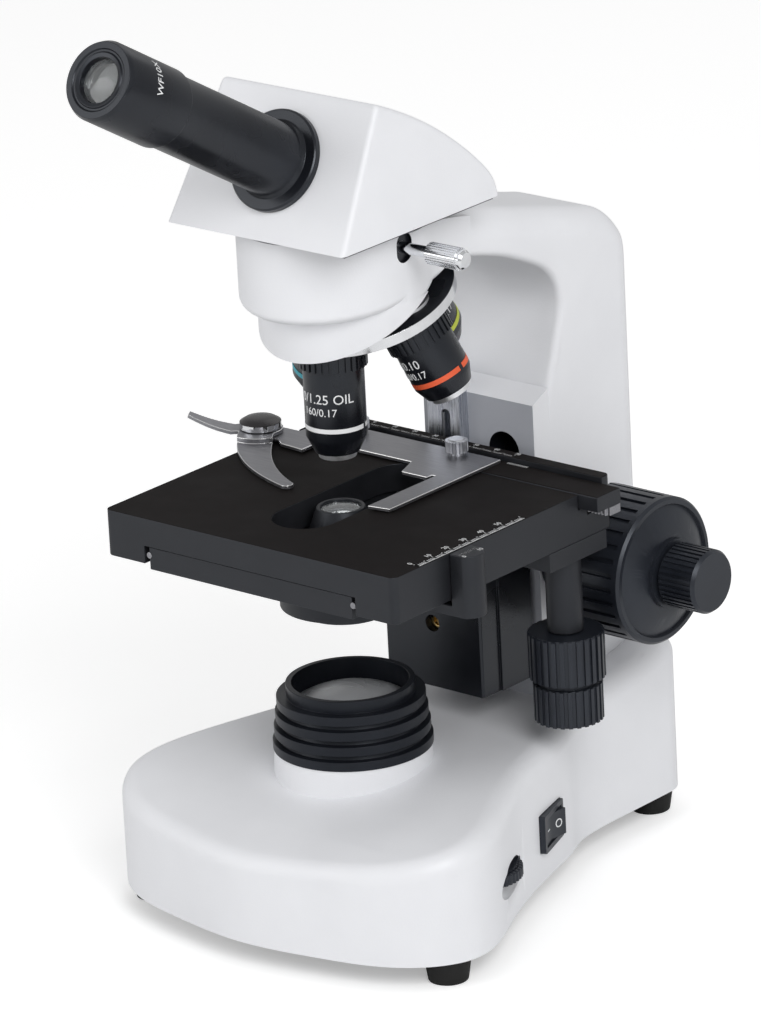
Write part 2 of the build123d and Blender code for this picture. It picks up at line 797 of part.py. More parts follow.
focus_pitch_r = focus_teeth * focus_module / 2
rack_y = focus_y - focus_pitch_r
with BuildPart() as focus_rack:
    with BuildSketch(Plane(origin=(0, axis_y + rack_y, 0), x_dir=(0, 0, 1), z_dir=(-1, 0, 0))):
        with BuildLine():
            Polyline(*rack_points(focus_rack_low, focus_rack_high, rack_y - carrier_rear, focus_module,
                                  focus_z), close=True)
        make_face()
    extrude(amount=focus_rack_half, both=True)
save(focus_rack, "focus_rack")

# Bushes, coarse shaft with pinion, fine shaft, and the coaxial knobs on both sides
with BuildPart() as focus_bushes:
    for sign in (1, -1):
        add(turned((0, axis_y + focus_y, focus_z), (sign, 0, 0), (0, 1, 0),
                   [(coarse_shaft_r + run_fit, focus_rack_half + 2),
                    (bush_r - press_fit, focus_rack_half + 2), (bush_r - press_fit, arm_half),
                    (bush_flange_r, arm_half),
                    (bush_flange_r, coarse_start - clear), (coarse_shaft_r + run_fit, coarse_start - clear)]))
save(focus_bushes, "focus_bushes")

with BuildPart() as coarse_shaft:
    with BuildSketch(shaft_plane(-coarse_start - coarse_socket, focus_y, focus_z)):
        Circle(coarse_shaft_r)
        Circle(fine_shaft_r + run_fit, mode=Mode.SUBTRACT)
    extrude(amount=2 * coarse_start + 2 * coarse_socket)
    with BuildSketch(shaft_plane(-focus_rack_half, focus_y, focus_z)):
        with BuildLine():
            Polyline(*gear_points(focus_teeth, focus_module, 180 / focus_teeth), close=True)
        make_face()
        Circle(fine_shaft_r + run_fit, mode=Mode.SUBTRACT)
    extrude(amount=2 * focus_rack_half)
save(coarse_shaft, "coarse_shaft")

with BuildPart() as fine_shaft:
    with BuildSketch(shaft_plane(fine_wall - fine_end, focus_y, focus_z)):
        Circle(fine_shaft_r)
    extrude(amount=2 * fine_end - 2 * fine_wall)
save(fine_shaft, "fine_shaft")

for hand, sign in (("right", 1), ("left", -1)):
    spindle = (0, axis_y + focus_y, focus_z)
    rib_plane = shaft_plane(sign * coarse_start, focus_y, focus_z, sign)
    lip_start = coarse_end - coarse_lip
    with BuildPart() as coarse_knob:
        add(ribbed(rib_plane, coarse_r, lip_start - coarse_start, coarse_ribs, 1.1, 1.9))
        add(turned(spindle, (sign, 0, 0), (0, 1, 0),
                   [(0, coarse_start + 1), (coarse_r - 2, coarse_start + 1), (coarse_r - 2, lip_start),
                    (coarse_r, lip_start), (coarse_r, coarse_end - 1), (coarse_r - 1, coarse_end),
                    (coarse_r - 2.6, coarse_end), (coarse_r - 3.2, coarse_end - 1),
                    (coarse_face_r + 3, coarse_tip - 2), (coarse_face_r, coarse_tip - 2),
                    (coarse_face_r, coarse_tip), (0, coarse_tip)]))
        with BuildSketch(rib_plane):
            Circle(coarse_shaft_r)
        extrude(amount=coarse_socket, mode=Mode.SUBTRACT)
        with BuildSketch(rib_plane):
            Circle(fine_shaft_r + run_fit)
        extrude(amount=coarse_tip - coarse_start, mode=Mode.SUBTRACT)
    save(coarse_knob, f"coarse_knob_{hand}")

    cap_plane = shaft_plane(sign * fine_start, focus_y, focus_z, sign)
    with BuildPart() as fine_knob:
        add(ribbed(cap_plane.offset(1.2), fine_r, fine_end - fine_start - 2.6, fine_ribs, 0.6, 1.0))
        add(turned(spindle, (sign, 0, 0), (0, 1, 0),
                   [(0, fine_start), (fine_r - 1.2, fine_start), (fine_r - 1.2, fine_end - 1.4),
                    (fine_r, fine_end - 1.4), (fine_r - 1, fine_end), (0, fine_end)]))
        with BuildSketch(cap_plane):
            Circle(fine_shaft_r)
        extrude(amount=fine_end - fine_wall - fine_start, mode=Mode.SUBTRACT)
    save(fine_knob, f"fine_knob_{hand}")

# Lower guide plate on the carrier, with ball races, the Y rack, the vernier post and the condenser ring
race_x = guide_half + race_out
with BuildPart() as stage_guide:
    with BuildSketch(level(stage_bottom)):
        with Locations((0, (guide_front + guide_rear) / 2)):
            Rectangle(2 * guide_half, guide_rear - guide_front)
        Circle(guide_hole_r, mode=Mode.SUBTRACT)
    extrude(amount=channel_top - clear - stage_bottom)
    with BuildSketch(facing(guide_front)):
        with Locations((race_x, race_z), (-race_x, race_z)):
            Circle(race_r)
    extrude(amount=-(guide_rear - guide_front), mode=Mode.SUBTRACT)
save(stage_guide, "stage_guide")

with BuildPart() as ball_races:
    with BuildSketch(facing(guide_front)):
        with Locations((race_x, race_z), (-race_x, race_z)):
            Circle(race_r)
    extrude(amount=-(guide_rear - guide_front))
save(ball_races, "ball_races")

vernier_out = vernier_at[0] + vernier_half - 1.7
with BuildPart() as vernier_post:
    with BuildSketch(level(vernier_low)):
        with BuildLine():
            bulge = ThreePointArc((vernier_at[0], vernier_at[1] - vernier_half), (vernier_out, vernier_at[1]),
                                  (vernier_at[0], vernier_at[1] + vernier_half))
            Polyline(bulge @ 1, (stage_half + clear, vernier_at[1] + vernier_half),
                     (stage_half + clear, vernier_at[1] - vernier_half), bulge @ 0)
        make_face()
    extrude(amount=stage_top - vernier_low)
    with BuildSketch(level(vernier_low)):
        with Locations(((guide_half - 8 + vernier_at[0]) / 2, vernier_at[1])):
            Rectangle(vernier_at[0] - guide_half + 8, 2 * vernier_half)
    extrude(amount=stage_bottom - vernier_low)
save(vernier_post, "vernier_post")

y_pitch_r = y_teeth * y_module / 2
y_rack_x = drive_x - y_pitch_r
with BuildPart() as y_rack:
    with BuildSketch(Plane(origin=(y_rack_x, axis_y, stage_bottom), x_dir=(0, 1, 0), z_dir=(0, 0, -1))):
        with BuildLine():
            Polyline(*rack_points(drive_y - y_travel - 7, guide_rear - 3, 8, y_module, drive_y), close=True)
        make_face()
    extrude(amount=stage_bottom - bracket_low - 2)
save(y_rack, "y_rack")

# Sliding stage plate with its slide slot and the bracket of the coaxial drive
slot_mid = (slot_front + slot_rear) / 2
with BuildPart() as stage_plate:
    with BuildSketch(level(stage_low)) as stage_plan:
        with Locations((0, (stage_front + stage_rear) / 2)):
            Rectangle(2 * stage_half, stage_rear - stage_front)
        fillet(stage_plan.vertices(), stage_corner_r)
    extrude(amount=rear_wall_top - stage_low)
    with BuildSketch(level(stage_top)):
        with Locations((0, (stage_front + rear_wall_y) / 2)):
            Rectangle(2 * stage_half, rear_wall_y - stage_front)
    extrude(amount=rear_wall_top - stage_top, mode=Mode.SUBTRACT)
    with BuildSketch(facing(stage_front)):
        with Locations((0, (stage_low + channel_top) / 2)):
            Rectangle(2 * channel_half, channel_top - stage_low)
    extrude(amount=-(stage_rear - stage_front), mode=Mode.SUBTRACT)
    with BuildSketch(level(channel_top)):
        with Locations((0, slot_mid)):
            SlotOverall(slot_rear - slot_front, 2 * slot_half, rotation=90)
    extrude(amount=stage_top - channel_top, mode=Mode.SUBTRACT)
    with BuildSketch(side(-stage_half)):
        with BuildLine():
            Polyline((bar_front - clear, rear_wall_top), (bar_front - clear, bar_low - clear),
                     (drive_y + 3.5, bar_low - clear), (drive_y + 3.5, x_rack_low - clear),
                     (rear_wall_y, x_rack_low - clear), (rear_wall_y, rear_wall_top), close=True)
        make_face()
    extrude(amount=2 * stage_half, mode=Mode.SUBTRACT)
    x_pitch_r = x_teeth * x_module / 2
    with BuildSketch(level(stage_low)):
        with Locations((drive_x, drive_y)):
            Circle(x_pitch_r + x_module + 2 * clear)
    extrude(amount=bar_low - clear - stage_low, mode=Mode.SUBTRACT)
save(stage_plate, "stage_plate")

with BuildPart() as drive_bracket:
    with BuildSketch(level(bracket_low)):
        with Locations(((bracket_left + stage_half) / 2, (bracket_front + bracket_rear) / 2)):
            Rectangle(stage_half - bracket_left, bracket_rear - bracket_front)
    extrude(amount=stage_low - bracket_low)
    with BuildSketch(level(bracket_low)):
        with Locations((drive_x, drive_y)):
            Circle(sleeve_r + 1)
    extrude(amount=bracket_floor)
    with BuildSketch(level(bracket_low + bracket_floor)):
        with Locations((drive_x, drive_y)):
            Circle(y_pitch_r + y_module + 2 * clear)
    extrude(amount=stage_low - bracket_low - bracket_floor, mode=Mode.SUBTRACT)
    with BuildSketch(level(bracket_low)):
        with Locations((drive_x, drive_y)):
            Circle(y_shaft_r + run_fit)
    extrude(amount=3, mode=Mode.SUBTRACT)
save(drive_bracket, "drive_bracket")

with BuildPart() as drive_sleeve:
    with BuildSketch(level(y_knob_high + clear)):
        with Locations((drive_x, drive_y)):
            Circle(sleeve_r)
            Circle(y_shaft_r + run_fit, mode=Mode.SUBTRACT)
    extrude(amount=bracket_low - y_knob_high - clear)
save(drive_sleeve, "drive_sleeve")

# Y knob with its tube and pinion, X knob with its rod and pinion
with BuildPart() as y_knob:
    y_knob_base = Plane(origin=(drive_x, axis_y + drive_y, y_knob_low))
    add(ribbed(y_knob_base, y_knob_r, y_knob_high - y_knob_low, y_knob_ribs, *knob_groove))
    chamfer(y_knob.faces().sort_by(Axis.Z)[-1].outer_wire().edges().filter_by(GeomType.CIRCLE), 0.5)
    with BuildSketch(level(y_knob_high)):
        with Locations((drive_x, drive_y)):
            Circle(y_shaft_r)
    extrude(amount=stage_low - 2 * clear - y_knob_high)
    with BuildSketch(Plane(origin=(drive_x, axis_y + drive_y, bracket_low + bracket_floor + clear))):
        with BuildLine():
            Polyline(*gear_points(y_teeth, y_module, 180 + 180 / y_teeth), close=True)
        make_face()
    extrude(amount=stage_low - bracket_low - bracket_floor - 3 * clear)
    with BuildSketch(level(y_knob_low)):
        with Locations((drive_x, drive_y)):
            Circle(x_shaft_r + run_fit)
    extrude(amount=stage_low - y_knob_low, mode=Mode.SUBTRACT)
save(y_knob, "y_knob")

with BuildPart() as x_knob:
    x_knob_base = Plane(origin=(drive_x, axis_y + drive_y, x_knob_low))
    add(ribbed(x_knob_base, x_knob_r, x_knob_high - x_knob_low, x_knob_ribs, *knob_groove))
    with BuildSketch(level(x_knob_high)):
        with Locations((drive_x, drive_y)):
            Circle(knob_neck_r)
    extrude(amount=y_knob_low - clear - x_knob_high)
    with BuildSketch(level(x_knob_low)):
        with Locations((drive_x, drive_y)):
            Circle(x_shaft_r)
    extrude(amount=bar_low - 2 * clear - x_knob_low)
    with BuildSketch(Plane(origin=(drive_x, axis_y + drive_y, x_rack_low))):
        with BuildLine():
            Polyline(*gear_points(x_teeth, x_module, 90 + 180 / x_teeth), close=True)
        make_face()
    extrude(amount=bar_low - 2 * clear - x_rack_low)
save(x_knob, "x_knob")

# X carriage: bar, rack and the slide holder with its thumb screws
with BuildPart() as carriage_bar:
    with BuildSketch(side(bar_left)):
        with Locations(((bar_front + rear_wall_y - clear) / 2, (bar_low + bar_top) / 2)):
            Rectangle(rear_wall_y - clear - bar_front, bar_top - bar_low)
    extrude(amount=bar_right - bar_left)
    chamfer(carriage_bar.edges().filter_by(Axis.X).group_by(Axis.Z)[-1], 0.4)
save(carriage_bar, "carriage_bar")

x_rack_y = drive_y + x_pitch_r
with BuildPart() as x_rack:
    with BuildSketch(Plane(origin=(0, axis_y + x_rack_y, bar_low), x_dir=(1, 0, 0), z_dir=(0, 0, -1))):
        with BuildLine():
            Polyline(*rack_points(x_rack_left, bar_right, rear_wall_y - 2 * clear - x_rack_y, x_module,
                                  drive_x), close=True)
        make_face()
    extrude(amount=bar_low - x_rack_low)
save(x_rack, "x_rack")

holder_top = bar_top + holder_thick
with BuildPart() as slide_holder:
    with BuildSketch(level(bar_top)):
        with BuildLine():
            Polyline((finger_left, finger_front), (finger_right, finger_front + 1.5),
                     (finger_right, holder_rear), (holder_left, holder_rear),
                     (holder_left - 2, pivot_at[1] + lug_r),
                     (pivot_at[0], pivot_at[1] + lug_r), (pivot_at[0], lug_front),
                     (holder_left - 2.5, lug_front), (holder_left + 1.5, slide_edge),
                     (holder_left + 13, slide_edge - 1), (holder_left + 13, holder_web),
                     (finger_left - 18, holder_web), (finger_left - 14, slide_edge),
                     (finger_left - 1.6, slide_edge), (finger_left - 1.6, slide_edge + 3),
                     (finger_left, slide_edge + 3), close=True)
        make_face()
        with Locations(pivot_at):
            Circle(lug_r)
            Circle(pivot_r - 0.4, mode=Mode.SUBTRACT)
    extrude(amount=holder_thick)
save(slide_holder, "slide_holder")

with BuildPart() as holder_screws:
    for spot in thumb_screws:
        add(upright(spot, [(0, holder_top), (thumb_r - 1.4, holder_top), (thumb_r - 1.4, holder_top + 2),
                           (thumb_r, holder_top + 2), (thumb_r, thumb_top - 1), (thumb_r - 1, thumb_top),
                           (0, thumb_top)]))
        with BuildSketch(level(holder_top + 2)):
            with Locations(spot):
                with PolarLocations(thumb_r, thumb_ribs):
                    Rectangle(0.7, 0.6)
        extrude(amount=thumb_top - holder_top - 3, mode=Mode.SUBTRACT)
save(holder_screws, "holder_screws")

# Spring clip: hub over the holder's lug, blade stepped down to the slide, lever bent up
hub_low = holder_top + clear
with BuildPart() as clip_pivot:
    add(upright(pivot_at, [(0, bar_top), (pivot_r - 0.4, bar_top), (pivot_r - 0.4, holder_top),
                           (pivot_r, holder_top), (pivot_r, hub_low + clip_thick + clear),
                           (cap_r, hub_low + clip_thick + clear), (cap_r, cap_top - 1.6),
                           (cap_r - 2, cap_top - 0.4), (cap_r - 5, cap_top), (0, cap_top)]))
save(clip_pivot, "clip_pivot")

lever_dir = Vector(cos(radians(lever_turn)), sin(radians(lever_turn)), 0)
lever_plane = Plane(origin=(pivot_at[0], axis_y + pivot_at[1], 0), x_dir=lever_dir,
                    z_dir=(lever_dir.Y, -lever_dir.X, 0))
blade_low = stage_top + clear
with BuildSketch(level(blade_low)) as blade_plan:
    with BuildLine():
        outer = Spline(clip_outer)
        tip = ThreePointArc(outer @ 1, *clip_tip)
        inner = Spline([tip @ 1, *clip_inner])
        Line(inner @ 1, outer @ 0)
    make_face()
clip_top = hub_low + clip_thick
with BuildPart() as slide_clip:
    extrude(blade_plan.sketch, amount=clip_top - blade_low)
    with BuildSketch(level(blade_low + clip_thick)):
        with Locations(pivot_at):
            Circle(2 * stage_half)
            Circle(joggle_out, mode=Mode.SUBTRACT)
    extrude(amount=clip_top - blade_low, mode=Mode.SUBTRACT)
    with BuildSketch(level(blade_low)):
        with Locations(pivot_at):
            Circle(joggle_in)
    extrude(amount=hub_low - blade_low, mode=Mode.SUBTRACT)
    with BuildSketch(level(hub_low)):
        with Locations(pivot_at):
            Circle(clip_hub_r)
    extrude(amount=clip_thick)
    with BuildSketch(lever_plane):
        with BuildLine():
            Polyline((0, hub_low), (lever_bend, hub_low), (lever_long, hub_low + lever_rise),
                     (lever_long - 0.4, hub_low + lever_rise + clip_thick),
                     (lever_bend - 0.4, hub_low + clip_thick), (0, hub_low + clip_thick), close=True)
        make_face()
    extrude(amount=lever_half, both=True)
    with BuildSketch(level(blade_low)):
        with Locations(pivot_at):
            Circle(pivot_r + run_fit)
    extrude(amount=clip_top - blade_low, mode=Mode.SUBTRACT)
save(slide_clip, "slide_clip")

# Condenser in its ring on the carrier, with iris and clamp screw
with BuildPart() as condenser_ring:
    with BuildSketch(level(ring_low)):
        Circle(ring_r)
        with Locations((0, carrier_front / 2)):
            Rectangle(2 * ring_neck_half, carrier_front)
        Circle(condenser_r + run_fit, mode=Mode.SUBTRACT)
    extrude(amount=ring_high - ring_low)
    with BuildSketch(Plane(origin=(-condenser_r, axis_y, (ring_low + ring_high) / 2), z_dir=(-1, 0, 0))):
        Circle(clamp_pin_r + run_fit)
    extrude(amount=2 * (ring_r - condenser_r), mode=Mode.SUBTRACT)
save(condenser_ring, "condenser_ring")

condenser_low = iris_low + iris_tall + clear
condenser_shoulder = condenser_low + condenser_barrel
neck_low = condenser_shoulder + condenser_cone
neck_high = neck_low + condenser_neck
condenser_top = neck_high + condenser_tip
lens_low = condenser_top - front_lens_thick
with BuildPart() as condenser:
    add(upright((0, 0), [(condenser_bore_r, condenser_low), (condenser_r, condenser_low),
                         (condenser_r, condenser_shoulder), (condenser_neck_r, neck_low),
                         (condenser_neck_r, neck_high), (condenser_tip_r, condenser_top),
                         (front_lens_r, condenser_top), (front_lens_r, lens_low),
                         (condenser_bore_r, condenser_shoulder)]))
save(condenser, "condenser")

with BuildPart() as condenser_lens:
    lens_edge = front_lens_r - press_fit
    add(upright((0, 0), [(0, lens_low), (lens_edge, lens_low), (lens_edge, condenser_top - 1.2),
                         (0.65 * lens_edge, condenser_top - 0.5), (0, condenser_top - 0.2)]))
save(condenser_lens, "condenser_lens")

lever_out = Vector(cos(radians(iris_lever_turn)), sin(radians(iris_lever_turn)), 0)
lever_root = Vector(0, axis_y, iris_low + iris_tall / 2) + lever_out * (iris_r - 2)
with BuildPart() as iris_ring:
    with BuildSketch(level(iris_low)):
        Circle(iris_r)
        Circle(iris_bore_r, mode=Mode.SUBTRACT)
    extrude(amount=iris_tall)
    with BuildSketch(Plane(origin=lever_root, z_dir=lever_out)):
        Circle(iris_lever_r)
    extrude(amount=iris_lever_long)
save(iris_ring, "iris_ring")

with BuildPart() as condenser_clamp:
    add(turned((0, axis_y, (ring_low + ring_high) / 2), (-1, 0, 0), (0, 1, 0),
               [(0, condenser_r + clear), (clamp_pin_r, condenser_r + clear), (clamp_pin_r, ring_r + 1),
                (clamp_r, ring_r + 1), (clamp_r, ring_r + clamp_long - 1),
                (clamp_r - 0.8, ring_r + clamp_long), (0, ring_r + clamp_long)]))
save(condenser_clamp, "condenser_clamp")

# Turret disc with its pivot and the objectives
with BuildPart() as objective_bores:
    for turn, length, tip_r, taper in objectives.values():
        seat, direction, across = objective_frame(turn)
        with BuildSketch(Plane(origin=seat + direction * 4, x_dir=across, z_dir=direction * -1)):
            Circle(thread_r)
        extrude(amount=turret_top + 8)
        with BuildSketch(Plane(origin=seat, x_dir=across, z_dir=direction)):
            Circle(knurl_r + clear)
        extrude(amount=4)

with BuildPart() as turret_disc:
    hub_face = (shoulder * sin(lean) - pivot_head_r - 2) * tan(lean)
    add(turned(disc_centre, turret_dir, (1, 0, 0),
               [(pivot_pin_r + run_fit, -turret_top), (turret_hub_r, -turret_top), (turret_hub_r, -rim_top),
                (turret_r, -rim_top), (turret_r, -rim_low), (shoulder * sin(lean), 0),
                (pivot_head_r + 2, hub_face), (pivot_pin_r + run_fit, hub_face)]))
    add(objective_bores.part, mode=Mode.SUBTRACT)
save(turret_disc, "turret_disc")

with BuildPart() as turret_pivot:
    pin_end = 0.2 - turret_top - turret_gap - pivot_depth
    add(turned(disc_centre, turret_dir, (1, 0, 0),
               [(0, pin_end), (pivot_pin_r, pin_end), (pivot_pin_r, hub_face + clear),
                (pivot_head_r, hub_face + clear), (pivot_head_r, hub_face + 2.4), (0, hub_face + 3)]))
save(turret_pivot, "turret_pivot")

for name, (turn, length, tip_r, taper) in objectives.items():
    seat, direction, across = objective_frame(turn)
    with BuildPart() as objective:
        add(turned(seat, direction, across,
                   [(objective_bore_r, -thread_long), (thread_r - press_fit, -thread_long),
                    (thread_r - press_fit, 0), (knurl_r - 1, 0), (knurl_r - 1, knurl_low),
                    (barrel_r, knurl_low + 1), (barrel_r, taper), (tip_r + 0.6, length - 2.2),
                    (tip_r - 0.4, length - 2.2), (tip_r - 0.8, length), (3.2, length), (2.6, length - 1),
                    (objective_bore_r, length - 3)]))
        add(ribbed(Plane(origin=seat + direction * knurl_low, x_dir=across, z_dir=direction), knurl_r,
                   knurl_high - knurl_low, knurl_ribs, 0.7, 1.1))
        with BuildSketch(Plane(origin=seat, x_dir=across, z_dir=direction)):
            Circle(objective_bore_r)
        extrude(amount=length - 8, mode=Mode.SUBTRACT)
    save(objective, name)

# Head seat, head casting, prism, tube and eyepiece
head_low = nose_top + head_gap
head_ridge = head_low + head_tall
spigot_top = head_low + spigot_long
prism_floor = head_low + prism_up
tube_root_z = head_low + tube_up
with BuildPart() as head_seat:
    add(upright((0, 0), [(light_bore_r, nose_top), (seat_r, nose_top), (seat_r, head_low - clear),
                         (spigot_r, head_low - clear), (spigot_r, spigot_top), (light_bore_r, spigot_top)]))
save(head_seat, "head_seat")

rise = radians(tube_tilt)
face_slope = tan(rise)
ridge_y = head_front + (head_ridge - head_low) * face_slope
root_y = head_front + (tube_root_z - head_low) * face_slope
tube_dir = Vector(0, -cos(rise), sin(rise))
tube_root = Vector(0, axis_y + root_y, tube_root_z)
with BuildSketch(side(-head_half_low - 1)) as head_side:
    with BuildLine():
        face_line = Line((head_front, head_low), (ridge_y, head_ridge))
        roof_points = [(y, head_low + up) for y, up in head_roof]
        roof_line = Spline([face_line @ 1, *roof_points, (head_rear, head_low)],
                           tangents=[(1, -0.42), (0.05, -1)])
        Line(roof_line @ 1, face_line @ 0)
    make_face()
with BuildSketch(facing(head_rear + 5)) as head_section:
    with BuildLine():
        Polyline((-head_half_low, head_low), (head_half_low, head_low), (head_half_high, head_ridge + 2),
                 (-head_half_high, head_ridge + 2), close=True)
    make_face()
with BuildPart() as head_casting:
    extrude(head_side.sketch, amount=2 * head_half_low + 2)
    extrude(head_section.sketch, amount=2 * (head_rear - head_front), mode=Mode.INTERSECT)
    fillet(head_casting.edges().filter_by_position(Axis.Z, head_low + 1, head_ridge + 5), 2.2)
    with BuildSketch(level(head_low)):
        Circle(spigot_r + run_fit)
    extrude(amount=spigot_top - head_low + clear, mode=Mode.SUBTRACT)
    with BuildSketch(level(head_low)):
        Circle(light_bore_r)
    extrude(amount=prism_floor - head_low + 1, mode=Mode.SUBTRACT)
    with BuildSketch(level(prism_floor)):
        Rectangle(2 * prism_half + 2 * clear, 2 * prism_half + 8)
    extrude(amount=2 * prism_half, mode=Mode.SUBTRACT)
    with BuildSketch(Plane(origin=tube_root + tube_dir * 5, x_dir=(1, 0, 0), z_dir=tube_dir * -1)):
        Circle(tube_r + press_fit)
    extrude(amount=tube_in + 6, mode=Mode.SUBTRACT)
save(head_casting, "head_casting")

with BuildPart() as prism:
    with BuildSketch(side()):
        with BuildLine():
            Polyline((-prism_half, prism_floor), (prism_half, prism_floor), (prism_half, prism_floor + 6),
                     (-prism_half * 0.4, prism_floor + 2 * prism_half - 2),
                     (-prism_half, prism_floor + 2 * prism_half - 6), close=True)
        make_face()
    extrude(amount=prism_half, both=True)
save(prism, "prism")

with BuildPart() as eyepiece_tube:
    add(turned(tube_root, tube_dir, (1, 0, 0),
               [(tube_bore_r + run_fit, -tube_in), (tube_r, -tube_in), (tube_r, 0), (flange_r, 0),
                (flange_r, flange_thick - 0.6), (flange_r - 0.6, flange_thick), (tube_r + 1.2, flange_thick),
                (tube_r, flange_thick + 2),
                (tube_r, tube_long + flange_thick), (tube_bore_r + run_fit, tube_long + flange_thick)]))
save(eyepiece_tube, "eyepiece_tube")

cap_start = tube_long + flange_thick
cap_end = eyepiece_end + flange_thick
with BuildPart() as eyepiece:
    add(turned(tube_root, tube_dir, (1, 0, 0),
               [(field_lens_r, eyepiece_in), (tube_bore_r, eyepiece_in), (tube_bore_r, cap_start + clear),
                (eyepiece_r - 0.8, cap_start + clear), (eyepiece_r, cap_start + 1.2),
                (eyepiece_r, cap_end - 2), (eyepiece_r - 0.9, cap_end), (11.6, cap_end),
                (11.2, cap_end - 0.6), (10.4, cap_end - 0.6),
                (10, cap_end), (eye_lens_r, cap_end - 0.4), (eye_lens_r, cap_end - eye_lens_in),
                (eye_lens_r - 1.4, cap_end - eye_lens_in), (eye_lens_r - 1.4, cap_end - eye_lens_in - 3),
                (field_lens_r, cap_end - eye_lens_in - 5)]))
save(eyepiece, "eyepiece")

with BuildPart() as eye_lens:
    add(turned(tube_root, tube_dir, (1, 0, 0),
               [(0, cap_end - eye_lens_in), (eye_lens_r - press_fit, cap_end - eye_lens_in),
                (eye_lens_r - press_fit, cap_end - 3), (eye_lens_r * 0.6, cap_end - 2.1),
                (0, cap_end - 1.8)]))
save(eye_lens, "eye_lens")

with BuildPart() as field_lens:
    add(turned(tube_root, tube_dir, (1, 0, 0),
               [(0, eyepiece_in + 1), (field_lens_r - press_fit, eyepiece_in + 1),
                (field_lens_r - press_fit, eyepiece_in + 4), (field_lens_r / 2, eyepiece_in + 5),
                (0, eyepiece_in + 5.4)]))
save(field_lens, "field_lens")

# Knurled screw that clamps the head's spigot
with BuildPart() as head_screw:
    add(turned((0, axis_y + screw_y, screw_z), (1, 0, 0), (0, 1, 0),
               [(0, screw_in), (screw_r, screw_in), (screw_r, screw_neck), (screw_head_r - 0.6, screw_neck),
                (screw_head_r - 0.6, screw_end - 1), (screw_head_r - 1.4, screw_end), (0, screw_end)]))
    add(ribbed(shaft_plane(screw_neck + 0.6, screw_y, screw_z), screw_head_r, screw_end - screw_neck - 3,
               screw_ribs, 0.4, 0.6))
save(head_screw, "head_screw")
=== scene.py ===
import json
import math

import bpy
from mathutils import Matrix, Vector


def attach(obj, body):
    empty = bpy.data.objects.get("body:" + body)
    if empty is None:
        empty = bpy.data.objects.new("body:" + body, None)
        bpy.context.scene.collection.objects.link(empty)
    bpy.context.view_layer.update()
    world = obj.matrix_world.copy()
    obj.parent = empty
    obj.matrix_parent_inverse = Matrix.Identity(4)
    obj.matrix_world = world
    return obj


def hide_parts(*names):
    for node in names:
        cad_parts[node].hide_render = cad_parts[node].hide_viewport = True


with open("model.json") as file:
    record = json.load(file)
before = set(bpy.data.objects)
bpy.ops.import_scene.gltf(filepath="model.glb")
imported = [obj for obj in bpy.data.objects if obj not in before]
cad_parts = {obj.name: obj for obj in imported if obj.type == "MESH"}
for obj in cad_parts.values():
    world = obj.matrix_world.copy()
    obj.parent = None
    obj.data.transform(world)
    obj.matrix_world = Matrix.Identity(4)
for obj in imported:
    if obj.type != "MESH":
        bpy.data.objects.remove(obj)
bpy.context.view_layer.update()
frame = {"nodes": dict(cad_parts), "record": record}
nodes = frame["nodes"]
bodyOfNode = {n: b for b, members in frame["record"]["behaviour"]["bodies"].items() for n in members}
mm = 0.001
opticalAxis = Vector((0.0, -12.0 * mm, 0.0))
toRight = Vector((1, 0, 0))
toRear = Vector((0, 1, 0))
upward = Vector((0, 0, 1))
cameraSide = Vector((0.657, -0.754, 0.0))  # level line from the object towards the camera
flatFacing = 0.99  # how squarely an end face looks along its line
edgeSettings = {"smoothAngle": 34.0, "bevelAngle": 34.0, "segments": 2}
print("frame loaded:", len(nodes), "nodes")


def clearSelection():
    if bpy.context.mode != "OBJECT":
        bpy.ops.object.mode_set(mode="OBJECT")
    bpy.ops.object.select_all(action="DESELECT")


def pickOnly(piece):
    clearSelection()
    piece.select_set(True)
    bpy.context.view_layer.objects.active = piece


def editAll(piece):
    pickOnly(piece)
    bpy.ops.object.mode_set(mode="EDIT")
    bpy.ops.mesh.select_all(action="SELECT")


# goes into edit mode with only the chosen faces selected
def pickFaces(piece, chosen):
    editAll(piece)
    bpy.ops.mesh.select_mode(type="FACE")
    bpy.ops.mesh.select_all(action="DESELECT")
    bpy.ops.object.mode_set(mode="OBJECT")
    for face in piece.data.polygons:
        face.select = chosen(face)
    bpy.ops.object.mode_set(mode="EDIT")


def faceOutward():
    bpy.ops.mesh.select_all(action="SELECT")
    bpy.ops.mesh.normals_make_consistent(inside=False)


def applyModifiers(piece):
    pickOnly(piece)
    for modifier in list(piece.modifiers):
        bpy.ops.object.modifier_apply(modifier=modifier.name)


def settle(piece):
    pickOnly(piece)
    bpy.ops.object.transform_apply(location=True, rotation=True, scale=True)


def addBevel(piece, width, segments):
    bevel = piece.modifiers.new("edges", "BEVEL")
    bevel.width = width * mm
    bevel.segments = segments
    bevel.limit_method = "ANGLE"
    bevel.angle_limit = math.radians(edgeSettings["bevelAngle"])
    return bevel


def smoothByAngle(piece):
    pickOnly(piece)
    bpy.ops.object.shade_smooth_by_angle(angle=math.radians(edgeSettings["smoothAngle"]))


def cutFrom(piece, cutter):
    settle(cutter)
    cut = piece.modifiers.new("cut", "BOOLEAN")
    cut.object = cutter
    cut.operation = "DIFFERENCE"
    applyModifiers(piece)
    bpy.data.objects.remove(cutter)


def giveFinish(piece, finish):
    piece.data.materials.clear()
    piece.data.materials.append(finish)


# shared shader effects, kept as node groups
grainSettings = {"scale": 900.0, "detail": 3.0, "roughness": 0.6, "mottleScale": 40.0, "mottleDetail": 2.0}
brushSettings = {"scale": 60.0, "stretch": 30.0, "detail": 4.0}
noiseSpan = (0.3, 0.7)  # where most values of the noise lie


